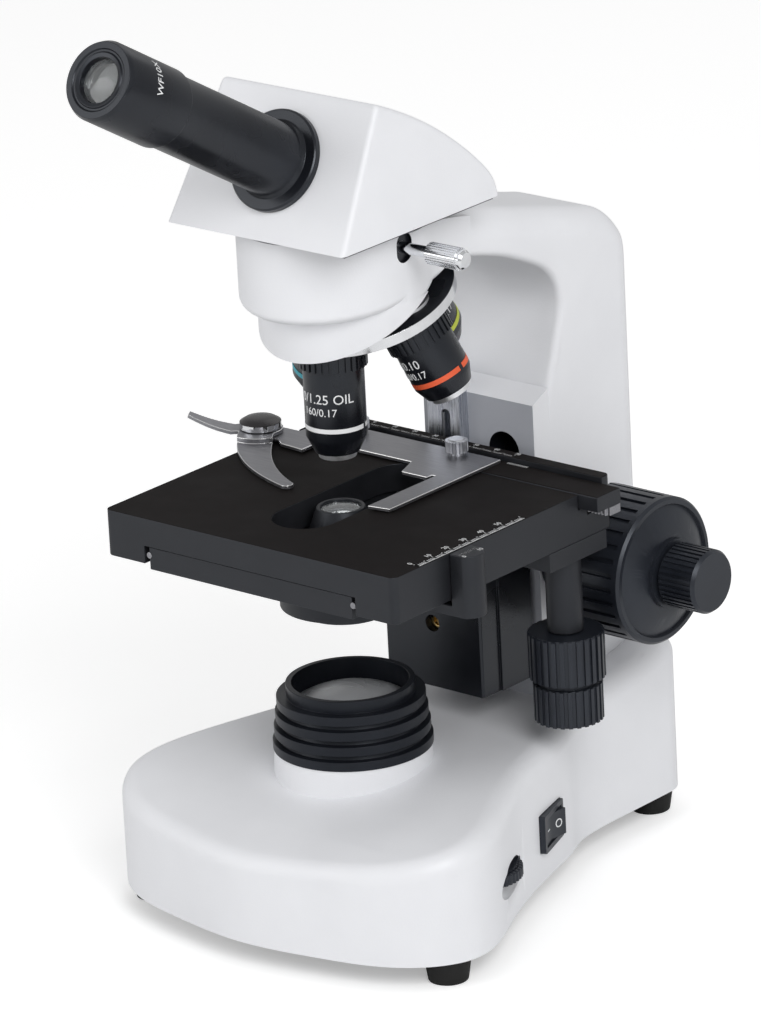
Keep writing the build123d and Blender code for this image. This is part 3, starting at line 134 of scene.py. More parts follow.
def newGroup(name, inputs, outputs):
    group = bpy.data.node_groups.new(name, "ShaderNodeTree")
    for label, value in inputs.items():
        socket = group.interface.new_socket(label, in_out="INPUT", socket_type="NodeSocketFloat")
        socket.default_value = value
    for label in outputs:
        group.interface.new_socket(label, in_out="OUTPUT", socket_type="NodeSocketFloat")
    return group, group.nodes.new("NodeGroupInput"), group.nodes.new("NodeGroupOutput")


def makePaintGrain():
    scales = {"Scale": grainSettings["scale"], "Mottle Scale": grainSettings["mottleScale"]}
    group, given, out = newGroup("paintGrain", scales, ["Height", "Mottle"])
    coords = group.nodes.new("ShaderNodeTexCoord")
    grain = group.nodes.new("ShaderNodeTexNoise")
    grain.inputs["Detail"].default_value = grainSettings["detail"]
    grain.inputs["Roughness"].default_value = grainSettings["roughness"]
    cloud = group.nodes.new("ShaderNodeTexNoise")
    cloud.inputs["Detail"].default_value = grainSettings["mottleDetail"]
    for noise, label in ((grain, "Scale"), (cloud, "Mottle Scale")):
        group.links.new(coords.outputs["Object"], noise.inputs["Vector"])
        group.links.new(given.outputs[label], noise.inputs["Scale"])
    group.links.new(grain.outputs["Fac"], out.inputs["Height"])
    group.links.new(cloud.outputs["Fac"], out.inputs["Mottle"])
    return group


def makeBrushLines(name, along):
    scales = {"Scale": brushSettings["scale"], "Stretch": brushSettings["stretch"]}
    group, given, out = newGroup(name, scales, ["Height", "Streak"])
    coords = group.nodes.new("ShaderNodeTexCoord")
    stretch = group.nodes.new("ShaderNodeCombineXYZ")
    mapping = group.nodes.new("ShaderNodeMapping")
    lines = group.nodes.new("ShaderNodeTexNoise")
    lines.inputs["Detail"].default_value = brushSettings["detail"]
    for axis in "XYZ":
        if axis == along:
            stretch.inputs[axis].default_value = 1.0
        else:
            group.links.new(given.outputs["Stretch"], stretch.inputs[axis])
    group.links.new(coords.outputs["Object"], mapping.inputs["Vector"])
    group.links.new(stretch.outputs["Vector"], mapping.inputs["Scale"])
    group.links.new(mapping.outputs["Vector"], lines.inputs["Vector"])
    group.links.new(given.outputs["Scale"], lines.inputs["Scale"])
    group.links.new(lines.outputs["Fac"], out.inputs["Height"])
    group.links.new(lines.outputs["Fac"], out.inputs["Streak"])
    return group


paintGrain = makePaintGrain()
brushLines = makeBrushLines("brushLines", "X")
railLines = makeBrushLines("railLines", "Z")


def newFinish(name, colour, roughness, metallic=0.0, **sockets):
    finish = bpy.data.materials.new(name)
    finish.use_nodes = True
    shader = finish.node_tree.nodes["Principled BSDF"]
    shader.inputs["Base Color"].default_value = (*colour, 1.0)
    shader.inputs["Roughness"].default_value = roughness
    shader.inputs["Metallic"].default_value = metallic
    for label, value in sockets.items():
        shader.inputs[label.replace("_", " ")].default_value = value
    return finish, shader


def placeGroup(finish, group, **values):
    placed = finish.node_tree.nodes.new("ShaderNodeGroup")
    placed.node_tree = group
    for label, value in values.items():
        placed.inputs[label.replace("_", " ")].default_value = value
    return placed


def bumpFrom(finish, shader, height, strength, distance):
    bump = finish.node_tree.nodes.new("ShaderNodeBump")
    bump.inputs["Strength"].default_value = strength
    bump.inputs["Distance"].default_value = distance
    finish.node_tree.links.new(height, bump.inputs["Height"])
    finish.node_tree.links.new(bump.outputs["Normal"], shader.inputs["Normal"])


def roughnessFrom(finish, shader, value, low, high):
    span = finish.node_tree.nodes.new("ShaderNodeMapRange")
    span.inputs["From Min"].default_value = noiseSpan[0]
    span.inputs["From Max"].default_value = noiseSpan[1]
    span.inputs["To Min"].default_value = low
    span.inputs["To Max"].default_value = high
    finish.node_tree.links.new(value, span.inputs["Value"])
    finish.node_tree.links.new(span.outputs["Result"], shader.inputs["Roughness"])


def colourFrom(finish, shader, value, dark, light):
    ramp = finish.node_tree.nodes.new("ShaderNodeValToRGB")
    for stop, place, colour in zip(ramp.color_ramp.elements, noiseSpan, (dark, light)):
        stop.position = place
        stop.color = (*colour, 1.0)
    finish.node_tree.links.new(value, ramp.inputs["Fac"])
    finish.node_tree.links.new(ramp.outputs["Color"], shader.inputs["Base Color"])


# grain is the scale of the fine grain and of the mottle, bump its strength and depth
def grainedFinish(name, dark, light, rough, grain, bump, metallic=0.0, **sockets):
    finish, shader = newFinish(name, light, rough[1], metallic, **sockets)
    placed = placeGroup(finish, paintGrain, Scale=grain[0], Mottle_Scale=grain[1])
    colourFrom(finish, shader, placed.outputs["Mottle"], dark, light)
    roughnessFrom(finish, shader, placed.outputs["Mottle"], *rough)
    bumpFrom(finish, shader, placed.outputs["Height"], *bump)
    return finish


# lines is the scale and the stretch of the brushing
def brushedFinish(name, dark, light, rough, lines, bump, group=brushLines):
    finish, shader = newFinish(name, light, rough[1], metallic=1.0)
    placed = placeGroup(finish, group, Scale=lines[0], Stretch=lines[1])
    colourFrom(finish, shader, placed.outputs["Streak"], dark, light)
    roughnessFrom(finish, shader, placed.outputs["Streak"], *rough)
    bumpFrom(finish, shader, placed.outputs["Height"], *bump)
    return finish


whitePaint = grainedFinish("whitePaint", (0.77, 0.777, 0.805), (0.805, 0.812, 0.84),
                           rough=(0.36, 0.48), grain=(1500.0, 30.0), bump=(0.25, 0.0002))
# the column pad's front is painted a darker grey: painted shade for the shadow under the arch
padPaintedShade = grainedFinish("padPaintedShade", (0.45, 0.465, 0.51), (0.49, 0.505, 0.55),
                         rough=(0.36, 0.48), grain=(1500.0, 30.0), bump=(0.25, 0.0002))
blackTint = (0.86, 0.91, 1.0, 1.0)
blackAnodised = grainedFinish("blackAnodised", (0.009, 0.0095, 0.0115), (0.014, 0.0145, 0.017),
                              rough=(0.4, 0.52), grain=(2500.0, 60.0), bump=(0.2, 0.0001),
                              Specular_IOR_Level=0.45, Specular_Tint=blackTint)
stageBlack = grainedFinish("stageBlack", (0.009, 0.0075, 0.0075), (0.014, 0.012, 0.012),
                           rough=(0.55, 0.68), grain=(2500.0, 60.0), bump=(0.2, 0.0001),
                           Specular_IOR_Level=0.06)
blackEnamel = grainedFinish("blackEnamel", (0.004, 0.0045, 0.0065), (0.0065, 0.0075, 0.0105),
                            rough=(0.24, 0.34), grain=(2200.0, 50.0), bump=(0.1, 0.0001),
                            Specular_IOR_Level=0.5, Specular_Tint=blackTint)
blackPlastic = grainedFinish("blackPlastic", (0.009, 0.0105, 0.015), (0.015, 0.0175, 0.0235),
                             rough=(0.3, 0.42), grain=(1800.0, 60.0), bump=(0.15, 0.0001),
                             Specular_IOR_Level=0.5, Specular_Tint=blackTint)
finEnamel = grainedFinish("finEnamel", (0.0085, 0.0098, 0.0135), (0.014, 0.016, 0.021),
                          rough=(0.28, 0.4), grain=(2200.0, 50.0), bump=(0.1, 0.0001),
                          Specular_IOR_Level=0.25, Specular_Tint=blackTint)
capEnamel = grainedFinish("capEnamel", (0.035, 0.033, 0.035), (0.055, 0.052, 0.054),
                          rough=(0.2, 0.3), grain=(1800.0, 60.0), bump=(0.08, 0.0001), metallic=0.6)
footRubber = grainedFinish("footRubber", (0.008, 0.008, 0.008), (0.016, 0.016, 0.016),
                           rough=(0.6, 0.75), grain=(1200.0, 80.0), bump=(0.3, 0.0002),
                           Specular_IOR_Level=0.25)
satinSteel = brushedFinish("satinSteel", (0.25, 0.25, 0.268), (0.35, 0.35, 0.37),
                           rough=(0.36, 0.48), lines=(90.0, 18.0), bump=(0.06, 0.0001))
polishedEdge = brushedFinish("polishedEdge", (0.80, 0.80, 0.80), (0.88, 0.88, 0.88),
                             rough=(0.12, 0.2), lines=(60.0, 8.0), bump=(0.03, 0.0001))
chromePlate = brushedFinish("chromePlate", (0.74, 0.75, 0.77), (0.82, 0.83, 0.85),
                            rough=(0.08, 0.18), lines=(50.0, 6.0), bump=(0.02, 0.0001))
railChrome = brushedFinish("railChrome", (0.46, 0.48, 0.53), (0.80, 0.82, 0.86),
                           rough=(0.24, 0.36), lines=(60.0, 26.0), bump=(0.05, 0.0001), group=railLines)
screwSteel = brushedFinish("screwSteel", (0.56, 0.57, 0.60), (0.68, 0.69, 0.72),
                           rough=(0.34, 0.44), lines=(60.0, 8.0), bump=(0.05, 0.0001))
tipSteel = brushedFinish("tipSteel", (0.80, 0.81, 0.83), (0.88, 0.89, 0.91),
                         rough=(0.34, 0.46), lines=(60.0, 8.0), bump=(0.03, 0.0001))
turnedBrass = brushedFinish("turnedBrass", (0.52, 0.38, 0.16), (0.64, 0.48, 0.22),
                            rough=(0.25, 0.35), lines=(60.0, 12.0), bump=(0.05, 0.0001))
inkSettings = {"rough": (0.4, 0.5), "grain": (1500.0, 120.0), "bump": (0.05, 0.00005)}
inkShade = 0.9
inkColours = {"white": (0.82, 0.83, 0.84), "orange": (0.78, 0.11, 0.035), "green": (0.50, 0.56, 0.06),
              "blue": (0.05, 0.42, 0.52)}
inks = {}
for inkName, inkColour in inkColours.items():
    shaded = tuple(inkShade * c for c in inkColour)
    inks[inkName] = grainedFinish(inkName + "Ink", shaded, inkColour, **inkSettings)
print("metal, paint, plastic and ink finishes made")

glassSettings = {"ior": 1.5, "grain": 300.0, "mottle": 25.0}


def glassFinish(name, colour, rough, transmission):
    spec = glassSettings
    finish, shader = newFinish(name, colour, rough[1], IOR=spec["ior"], Transmission_Weight=transmission)
    placed = placeGroup(finish, paintGrain, Scale=spec["grain"], Mottle_Scale=spec["mottle"])
    roughnessFrom(finish, shader, placed.outputs["Mottle"], *rough)
    return finish


lensGlass = glassFinish("lensGlass", (0.86, 0.89, 0.9), rough=(0.01, 0.04), transmission=0.9)
frostedGlass = glassFinish("frostedGlass", (0.62, 0.63, 0.65), rough=(0.22, 0.3), transmission=0.35)
print("glass made")

# which finish each CAD piece wears, and how far its sharp edges are rounded, in millimetres
coats = {
    "white_paint": (whitePaint, 0.5), "black_anodised": (blackAnodised, 0.35),
    "black_paint": (blackEnamel, 0.2), "black_plastic": (blackPlastic, 0.2), "rubber": (footRubber, 0.4),
    "steel": (satinSteel, 0.3), "chrome": (chromePlate, 0.15), "brass": (turnedBrass, 0.15),
    "glass": (lensGlass, 0.0),
}
ownFinish = {"collector_lens": frostedGlass, "focus_bushes": blackPlastic, "holder_screws": screwSteel,
             "focus_rail": railChrome, "lamp_housing": finEnamel}
brightEdged = ("slide_holder", "slide_clip")
coatSettings = {"mergeGap": 0.000002, "flatAngle": 0.6}


def coatNode(nodeName, slot):
    finish, edge = coats[slot]
    piece = bpy.data.objects.new(nodeName + "_coat", nodes[nodeName].data.copy())
    bpy.context.scene.collection.objects.link(piece)
    editAll(piece)
    bpy.ops.mesh.remove_doubles(threshold=coatSettings["mergeGap"])
    bpy.ops.mesh.dissolve_limited(angle_limit=math.radians(coatSettings["flatAngle"]))
    pickOnly(piece)
    giveFinish(piece, finish)
    bpy.ops.mesh.customdata_custom_splitnormals_clear()
    smoothByAngle(piece)
    if edge:
        bevel = addBevel(piece, edge, edgeSettings["segments"])
        bevel.harden_normals = True
        if nodeName in brightEdged:
            piece.data.materials.append(polishedEdge)
            bevel.material = 1
        applyModifiers(piece)
    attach(piece, bodyOfNode[nodeName])
    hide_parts(nodeName)
    return piece


skins = {}
for entry in frame["record"]["subparts"]:
    skins[entry["node"]] = coatNode(entry["node"], entry["material_slot"])
for nodeName, finish in ownFinish.items():
    giveFinish(skins[nodeName], finish)


def paintFaces(piece, finish, chosen):
    piece.data.materials.append(finish)
    place = len(piece.data.materials) - 1
    for face in piece.data.polygons:
        if chosen(face):
            face.material_index = place


# parts of a piece that wear another finish or painted shade on the pad's front, in millimetres of the frame
faceSettings = {"upFacing": 0.7, "stageTop": 160.8, "capLow": 167.3, "padFront": (68.5, 69.5),
                "padFacing": -0.9, "holeAt": (12.0, 159.5), "holeRadius": 7.4, "holeDeep": (69.1, 90.0),
                "slotAt": (32.2, -7.0, 263.5), "slotHalf": (1.2, 4.4, 5.9)}
nosepiece = {"apex": (0.0, -12.0, 292.0), "lean": 18.0, "centre": (0.0, 7.985, 230.494), "hubRadius": 34.2,
             "hubTop": -3.0, "topFacing": -0.5, "shoulder": 68.0, "barrel": 11.4, "tip": 2.3}


def turretLine():
    lean = math.radians(nosepiece["lean"])
    return Vector((0, math.sin(lean), -math.cos(lean)))


def onStageTop(face):
    return face.normal.z > faceSettings["upFacing"] and face.center.z / mm > faceSettings["stageTop"]


# the pad's front faces, which get the painted shade
def onPad(face):
    low, high = faceSettings["padFront"]
    return low < face.center.y / mm < high and face.normal.y < faceSettings["padFacing"]


def inPadHole(face):
    front, rear = faceSettings["holeDeep"]
    away = Vector((face.center.x, face.center.z)) / mm - Vector(faceSettings["holeAt"])
    return away.length < faceSettings["holeRadius"] and front < face.center.y / mm < rear


def inScrewSlot(face):
    for corner in face.vertices:
        away = skins["arm_casting"].data.vertices[corner].co / mm - Vector(faceSettings["slotAt"])
        if any(abs(gap) > half for gap, half in zip(away, faceSettings["slotHalf"])):
            return False
    return True


def onTurretTop(face):
    line = turretLine()
    out = face.center / mm - Vector(nosepiece["centre"])
    deep = out.dot(line)
    onHub = (out - line * deep).length < nosepiece["hubRadius"] and deep < nosepiece["hubTop"]
    return face.normal.dot(line) < nosepiece["topFacing"] or onHub


paintFaces(skins["stage_plate"], stageBlack, onStageTop)
paintFaces(skins["clip_pivot"], capEnamel, lambda face: face.center.z / mm > faceSettings["capLow"])
paintFaces(skins["carriage_bar"], stageBlack, lambda face: face.normal.z > faceSettings["upFacing"])
# painted shade: the pad's front under the arch is painted darker grey
paintFaces(skins["arm_casting"], padPaintedShade, onPad)
paintFaces(skins["arm_casting"], blackEnamel, lambda face: inPadHole(face) or inScrewSlot(face))
paintFaces(skins["turret_disc"], blackEnamel, onTurretTop)
print("CAD pieces coated:", len(skins))

# the clip's lever narrows to its tip and sags a little, as a leaf does
clipLever = {"pivot": (-73.6, 28.0), "turn": 210.2, "start": 9.5, "end": 27.9, "steps": 10, "taper": 0.55,
             "taperPower": 1.3, "sag": 0.8}


def shapeLever():
    spec = clipLever
    piece = skins["slide_clip"]
    turn = math.radians(spec["turn"])
    along = Vector((math.cos(turn), math.sin(turn), 0))
    across = Vector((-math.sin(turn), math.cos(turn), 0))
    pivot = Vector((*spec["pivot"], 0)) * mm
    start = spec["start"] * mm
    span = (spec["end"] - spec["start"]) * mm
    for step in range(spec["steps"]):
        editAll(piece)
        bpy.ops.mesh.bisect(plane_co=pivot + along * (start + span * step / spec["steps"]), plane_no=along)
    clearSelection()
    for corner in piece.data.vertices:
        out = corner.co - pivot
        share = (out.dot(along) - start) / span
        if share > 0:
            corner.co -= across * out.dot(across) * spec["taper"] * share ** spec["taperPower"]
            corner.co.z -= spec["sag"] * mm * math.sin(math.pi * min(share, 1))


shapeLever()
print("clip lever shaped")

# printed and engraved marks
markSettings = {"lift": 0.1 * mm, "thick": 0.05 * mm, "mergeGap": 0.001 * mm, "curveSteps": 3,
                "ringSteps": 90}


def makeWords(name, words, size):
    clearSelection()
    bpy.ops.object.text_add()
    piece = bpy.context.object
    piece.name = name
    piece.data.body = words
    piece.data.size = size * mm
    piece.data.align_x = "CENTER"
    piece.data.align_y = "CENTER"
    piece.data.extrude = markSettings["thick"]
    piece.data.resolution_u = markSettings["curveSteps"]
    bpy.ops.object.convert(target="MESH")
    return bpy.context.object


def finishMark(piece, finish, body):
    giveFinish(piece, finish)
    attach(piece, body)
    return piece


# words bent round a barrel: up is the top of the letters, facing is where their middle looks
def wrapWords(name, words, size, centre, up, facing, radius, finish, body):
    piece = makeWords(name, words, size)
    right = up.cross(facing)
    for corner in piece.data.vertices:
        turn = corner.co.x / radius
        outward = facing * math.cos(turn) + right * math.sin(turn)
        corner.co = centre + up * corner.co.y + outward * (radius + markSettings["lift"] + corner.co.z)
    return finishMark(piece, finish, body)


def placedOn(centre, right, up):
    return Matrix.Translation(centre) @ Matrix((right, up, right.cross(up))).transposed().to_4x4()


def flatWords(name, words, size, centre, right, up, finish, body):
    piece = makeWords(name, words, size)
    piece.matrix_world = placedOn(centre, right, up)
    settle(piece)
    return finishMark(piece, finish, body)


def layPlane(name, centre, right, up, wide, long):
    clearSelection()
    bpy.ops.mesh.primitive_plane_add(size=1)
    piece = bpy.context.object
    piece.name = name
    piece.matrix_world = placedOn(centre, right, up) @ Matrix.Diagonal((wide, long, 1.0, 1.0))
    settle(piece)
    return piece


# a thin block laid on a face
def layStrip(name, centre, right, up, wide, long):
    piece = layPlane(name, centre, right, up, wide, long)
    editAll(piece)
    rise = right.cross(up) * markSettings["thick"]
    bpy.ops.mesh.extrude_region_move(TRANSFORM_OT_translate={"value": rise})
    faceOutward()
    clearSelection()
    return piece


def tickRow(name, first, along, across, step, count, wide, long, finish, body):
    piece = layStrip(name, first + across * long / 2, along, across, wide, long)
    row = piece.modifiers.new("row", "ARRAY")
    row.count = count
    row.use_relative_offset = False
    row.use_constant_offset = True
    row.constant_offset_displace = along * step
    applyModifiers(piece)
    return finishMark(piece, finish, body)


# a coloured ring round a barrel, open for a small gap
def ringBand(name, centre, axis, facing, radius, tall, gap, finish, body):
    gapTurn, gapWide = (math.radians(angle) for angle in gap)
    start = Matrix.Rotation(gapTurn + gapWide / 2, 3, axis) @ facing
    piece = layPlane(name, centre + start * radius, axis, start, tall, 2 * markSettings["lift"])
    editAll(piece)
    bpy.ops.mesh.spin(steps=markSettings["ringSteps"], angle=2 * math.pi - gapWide, center=centre, axis=axis)
    bpy.ops.mesh.select_all(action="SELECT")
    bpy.ops.mesh.remove_doubles(threshold=markSettings["mergeGap"])
    faceOutward()
    smoothByAngle(piece)
    return finishMark(piece, finish, body)


# the side of a leaning line that looks at the camera
def frontOf(line):
    return (cameraSide - line * cameraSide.dot(line)).normalized()


# words are text, letter height and distance below the shoulder; gap is the band's opening, turn and width
objectiveMarks = {
    "objective_100x": {"turn": 0, "long": 44.6, "facing": -33.0, "ink": "white", "band": (31.0, 32.7),
                       "gap": (56.0, 9.0),
                       "words": {"top": ("100/1.25 OIL", 5.2, 19.8), "low": ("160/0.17", 4.1, 24.8)}},
    "objective_4x": {"turn": 90, "long": 33.0, "facing": -52.0, "ink": "orange", "band": (22.2, 24.2),
                     "gap": (40.0, 9.0),
                     "words": {"top": ("4/0.10", 5.0, 14.2), "low": ("160/0.17", 4.0, 18.8)}},
    "objective_10x": {"turn": 180, "long": 38.5, "facing": 35.0, "ink": "green", "band": (26.0, 28.0),
                      "gap": (-120.0, 9.0),
                      "words": {"top": ("10/0.25", 5.0, 15.2), "low": ("160/0.17", 4.0, 20.0)}},
    "objective_40x": {"turn": 270, "long": 44.4, "facing": -60.0, "ink": "blue", "band": (30.4, 32.5),
                      "gap": (150.0, 9.0),
                      "words": {"top": ("40/0.65", 5.0, 19.2), "low": ("160/0.17", 4.0, 24.4)}},
}


def objectiveLine(turn):
    lean = math.radians(nosepiece["lean"])
    forward = Vector((0, -math.cos(lean), -math.sin(lean)))
    outward = forward * math.cos(turn) + toRight * math.sin(turn)
    down = turretLine() * math.cos(lean) + outward * math.sin(lean)
    return Vector(nosepiece["apex"]) * mm + down * nosepiece["shoulder"] * mm, down


def plateTip(piece, seat, down, long):
    tip = (long - nosepiece["tip"]) * mm
    paintFaces(piece, tipSteel, lambda face: not 0 < (face.center - seat).dot(down) < tip)


def markObjective(nodeName, mark):
    seat, down = objectiveLine(math.radians(mark["turn"]))
    front = frontOf(down)
    facing = Matrix.Rotation(math.radians(mark["facing"]), 3, -down) @ front
    radius = nosepiece["barrel"] * mm
    plateTip(skins[nodeName], seat, down, mark["long"])
    for line, (words, size, reach) in mark["words"].items():
        wrapWords(nodeName + "_" + line, words, size, seat + down * reach * mm, -down, facing, radius,
                  inks["white"], "turret")
    low, high = mark["band"]
    ringBand(nodeName + "_band", seat + down * (low + high) / 2 * mm, -down, front, radius,
             (high - low) * mm, mark["gap"], inks[mark["ink"]], "turret")


for nodeName, mark in objectiveMarks.items():
    markObjective(nodeName, mark)
print("objectives marked")

eyepieceMark = {"words": "WF10X", "size": 4.4, "root": (0.0, -36.42, 298.6), "tilt": 30.5, "reach": 88.8,
                "radius": 14.9, "turn": 62.0}


def markEyepiece():
    tilt = math.radians(eyepieceMark["tilt"])
    line = Vector((0, -math.cos(tilt), math.sin(tilt)))
    facing = Matrix.Rotation(math.radians(eyepieceMark["turn"]), 3, line) @ frontOf(line)
    centre = Vector(eyepieceMark["root"]) * mm + line * eyepieceMark["reach"] * mm
    wrapWords("eyepiece_words", eyepieceMark["words"], eyepieceMark["size"], centre, line, facing,
              eyepieceMark["radius"] * mm, inks["white"], "eyepiece")


markEyepiece()
print("eyepiece marked")

# scales along the stage's right edge, on the vernier post, on the wall behind the carriage and on its bar
# first is a scale's zero, seen from the optical axis, and away is how far off its numbers stand
# each row is its name, which ticks it marks and their length
stageScale = {"first": (69.2, -37.5, 161.0), "step": 1.0, "count": 61, "wide": 0.3,
              "rows": (("mm", 1, 1.6), ("five", 5, 2.2), ("ten", 10, 2.8)),
              "numbers": range(0, 60, 10), "size": 3.0, "away": 4.4}
vernierScale = {"first": (73.4, -21.0, 161.0), "step": 0.9, "count": 11, "wide": 0.3,
                "rows": (("ticks", 1, 1.8),), "numbers": (0, 10), "size": 2.6, "away": -3.1}
wallScale = {"first": (-43.0, 67.6, 163.5), "step": 1.0, "count": 71, "wide": 0.22,
             "rows": (("mm", 1, 1.0), ("five", 5, 1.4), ("ten", 10, 1.7)),
             "numbers": range(0, 71, 10), "size": 2.3, "away": 3.3}
barScale = {"first": (35.5, 66.4, 161.5), "step": 0.9, "count": 11, "wide": 0.25,
            "rows": (("ticks", 1, 1.5),)}


def scaleStart(scale):
    return opticalAxis + Vector(scale["first"]) * mm


def markRows(name, scale, along, across, body):
    for label, every, long in scale["rows"]:
        count = (scale["count"] - 1) // every + 1
        tickRow(f"{name}_{label}", scaleStart(scale), along, across, every * scale["step"] * mm, count,
                scale["wide"] * mm, long * mm, inks["white"], body)


def markNumbers(name, scale, along, up, body):
    for value in scale["numbers"]:
        place = scaleStart(scale) + along * value * scale["step"] * mm + up * scale["away"] * mm
        flatWords(f"{name}_{value}", str(value), scale["size"], place, along, up, inks["white"], body)


def markStage():
    markRows("stage_scale", stageScale, toRear, -toRight, "stage_y")
    reach = (stageScale["count"] - 1) * mm
    line = layStrip("stage_scale_line", scaleStart(stageScale) + toRear * reach / 2, toRear, -toRight, reach,
                    stageScale["wide"] * mm)
    finishMark(line, inks["white"], "stage_y")
    markNumbers("stage_scale", stageScale, toRear, -toRight, "stage_y")


markStage()
markRows("vernier", vernierScale, toRear, toRight, "focus")
markNumbers("vernier", vernierScale, toRear, -toRight, "focus")
markRows("wall_scale", wallScale, toRight, toRear, "stage_y")
markNumbers("wall_scale", wallScale, toRight, toRear, "stage_y")
markRows("carriage", barScale, -toRight, -toRear, "stage_x")
print("scales marked")

# switch marks: a ring on the rear half of the rocker and a bar on its front half
rockerMark = {"at": (56.2, 33.0, 29.0), "turn": 20.0, "tilt": 10.0, "sink": 2.3, "half": 7.7, "end": 5.0,
              "middle": 3.2, "ring": 5.0, "bar": (2.4, 0.45)}


def markRocker():
    mark = rockerMark
    turn = math.radians(mark["turn"])
    tilted = math.radians(mark["turn"] - mark["tilt"])
    pin = (Vector(mark["at"]) - Vector((math.cos(turn), math.sin(turn), 0)) * mark["sink"]) * mm
    along = Vector((-math.sin(tilted), math.cos(tilted), 0))
    out = Vector((math.cos(tilted), math.sin(tilted), 0))
    slope = (mark["end"] - mark["middle"]) / mark["half"]
    for half in (1, -1):
        right = (along + out * slope * half).normalized()
        centre = pin + (along * half * mark["half"] / 2 + out * (mark["end"] + mark["middle"]) / 2) * mm
        if half > 0:
            flatWords("rocker_ring", "O", mark["ring"], centre, right, upward, inks["white"], "rocker")
        else:
            bar = layStrip("rocker_bar", centre, right, upward, *(size * mm for size in mark["bar"]))
            finishMark(bar, inks["white"], "rocker")


markRocker()
print("switch marked")

# white skirt that hides the front of the turret, cut off at a slope
skirt = {"centre": (0.0, -2.0), "radius": 33.15, "sides": 160, "wall": 1.6, "top": 243.0, "front": 221.8,
         "spare": 2.0, "lean": 27.0, "inside": 9.0, "edge": 0.7, "edgeSteps": 3}


def makeSkirt():
    spec = skirt
    lean = math.radians(spec["lean"])
    low = spec["front"] - spec["spare"]
    clearSelection()
    bpy.ops.mesh.primitive_cylinder_add(vertices=spec["sides"], radius=spec["radius"] * mm,
                                        depth=(spec["top"] - low) * mm,
                                        location=Vector((*spec["centre"], (spec["top"] + low) / 2)) * mm)
    piece = bpy.context.object
    piece.name = "turret_skirt"
    settle(piece)
    editAll(piece)
    front = Vector((spec["centre"][0], spec["centre"][1] - spec["radius"], spec["front"])) * mm
    slope = Vector((0, math.sin(lean), -math.cos(lean)))
    bpy.ops.mesh.bisect(plane_co=front, plane_no=slope, use_fill=True, clear_outer=True)
    pickFaces(piece, lambda face: face.normal.dot(slope) > flatFacing)
    bpy.ops.mesh.inset(thickness=spec["wall"] * mm)
    bpy.ops.mesh.extrude_region_move(TRANSFORM_OT_translate={"value": (0, 0, spec["inside"] * mm)})
    bpy.ops.mesh.delete(type="FACE")
    pickFaces(piece, lambda face: face.normal.z > flatFacing)
    bpy.ops.mesh.delete(type="FACE")
    addBevel(piece, spec["edge"], spec["edgeSteps"])
    applyModifiers(piece)
    smoothByAngle(piece)
    giveFinish(piece, whitePaint)
    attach(piece, "stand")


makeSkirt()

# black plate under the head, a painted shadow: it gives the dark line of shade along the head's lower edge
headShadowPlate = {"half": 40.6, "front": -48.6, "rear": 35.0, "low": 272.0, "high": 273.0, "hole": 31.6,
             "holeSides": 96, "holeLong": 8.0, "at": (0.0, -12.0)}


def makeHeadPlate():
    spec = headShadowPlate
    middle = Vector((0, (spec["front"] + spec["rear"]) / 2, (spec["low"] + spec["high"]) / 2)) * mm
    size = Vector((2 * spec["half"], spec["rear"] - spec["front"], spec["high"] - spec["low"])) * mm
    clearSelection()
    bpy.ops.mesh.primitive_cube_add(size=1, location=middle, scale=size)
    piece = bpy.context.object
    piece.name = "head_shadow_plate"
    settle(piece)
    clearSelection()
    bpy.ops.mesh.primitive_cylinder_add(vertices=spec["holeSides"], radius=spec["hole"] * mm,
                                        depth=spec["holeLong"] * mm,
                                        location=Vector((*spec["at"], spec["low"])) * mm)
    cutFrom(piece, bpy.context.object)
    # painted shadow: the plate is black so that it reads as shade in the gap
    giveFinish(piece, blackEnamel)
    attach(piece, "head")


makeHeadPlate()
print("skirt and head plate made")

# knurled rings: each groove is one of three corners of the rim, drawn inward
# a ring that isn't crowned at its ends is swollen all over instead
cornersPerGroove = 3


def makeKnurl(name, spec, centre, finish, body):
    corners = cornersPerGroove * spec["grooves"]
    clearSelection()
    bpy.ops.mesh.primitive_cylinder_add(vertices=corners, radius=spec["radius"] * mm,
                                        depth=spec["thick"] * mm)
    piece = bpy.context.object
    piece.name = name
    inward = 1 - spec["groove"] / spec["radius"]
    step = 2 * math.pi / corners
    for corner in piece.data.vertices:
        count = round(math.atan2(corner.co.y, corner.co.x) / step)
        if count % cornersPerGroove == 0:
            corner.co.x *= inward
            corner.co.y *= inward
    if spec["crowned"]:
        pickFaces(piece, lambda face: abs(face.normal.z) > flatFacing)
    else:
        editAll(piece)
    bpy.ops.mesh.inset(thickness=spec["crown"] * mm, depth=spec["crown"] / 2 * mm)
    if "bore" in spec:
        bpy.ops.mesh.inset(thickness=(spec["radius"] - spec["groove"] - spec["crown"] - spec["bore"]) * mm)
        bpy.ops.mesh.delete(type="FACE")
        bpy.ops.mesh.select_mode(type="EDGE")
        bpy.ops.mesh.select_non_manifold()
        bpy.ops.mesh.bridge_edge_loops()
        faceOutward()
    clearSelection()
    piece.location = Vector(centre) * mm
    settle(piece)
    bpy.ops.object.shade_flat()
    giveFinish(piece, finish)
    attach(piece, body)
    return piece


thumbKnurl = {"radius": 4.0, "groove": 0.7, "grooves": 20, "thick": 3.7, "crown": 0.6}
thumbSpots = (((7.0, 47.4, 166.85), False), ((-41.0, 47.4, 166.85), True))  # place, crowned or not
for number, (spot, crowned) in enumerate(thumbSpots):
    sleeve = {**thumbKnurl, "crowned": crowned}
    makeKnurl(f"thumb_knurl_{number}", sleeve, spot, screwSteel, "stage_x")
print("thumb screws knurled")

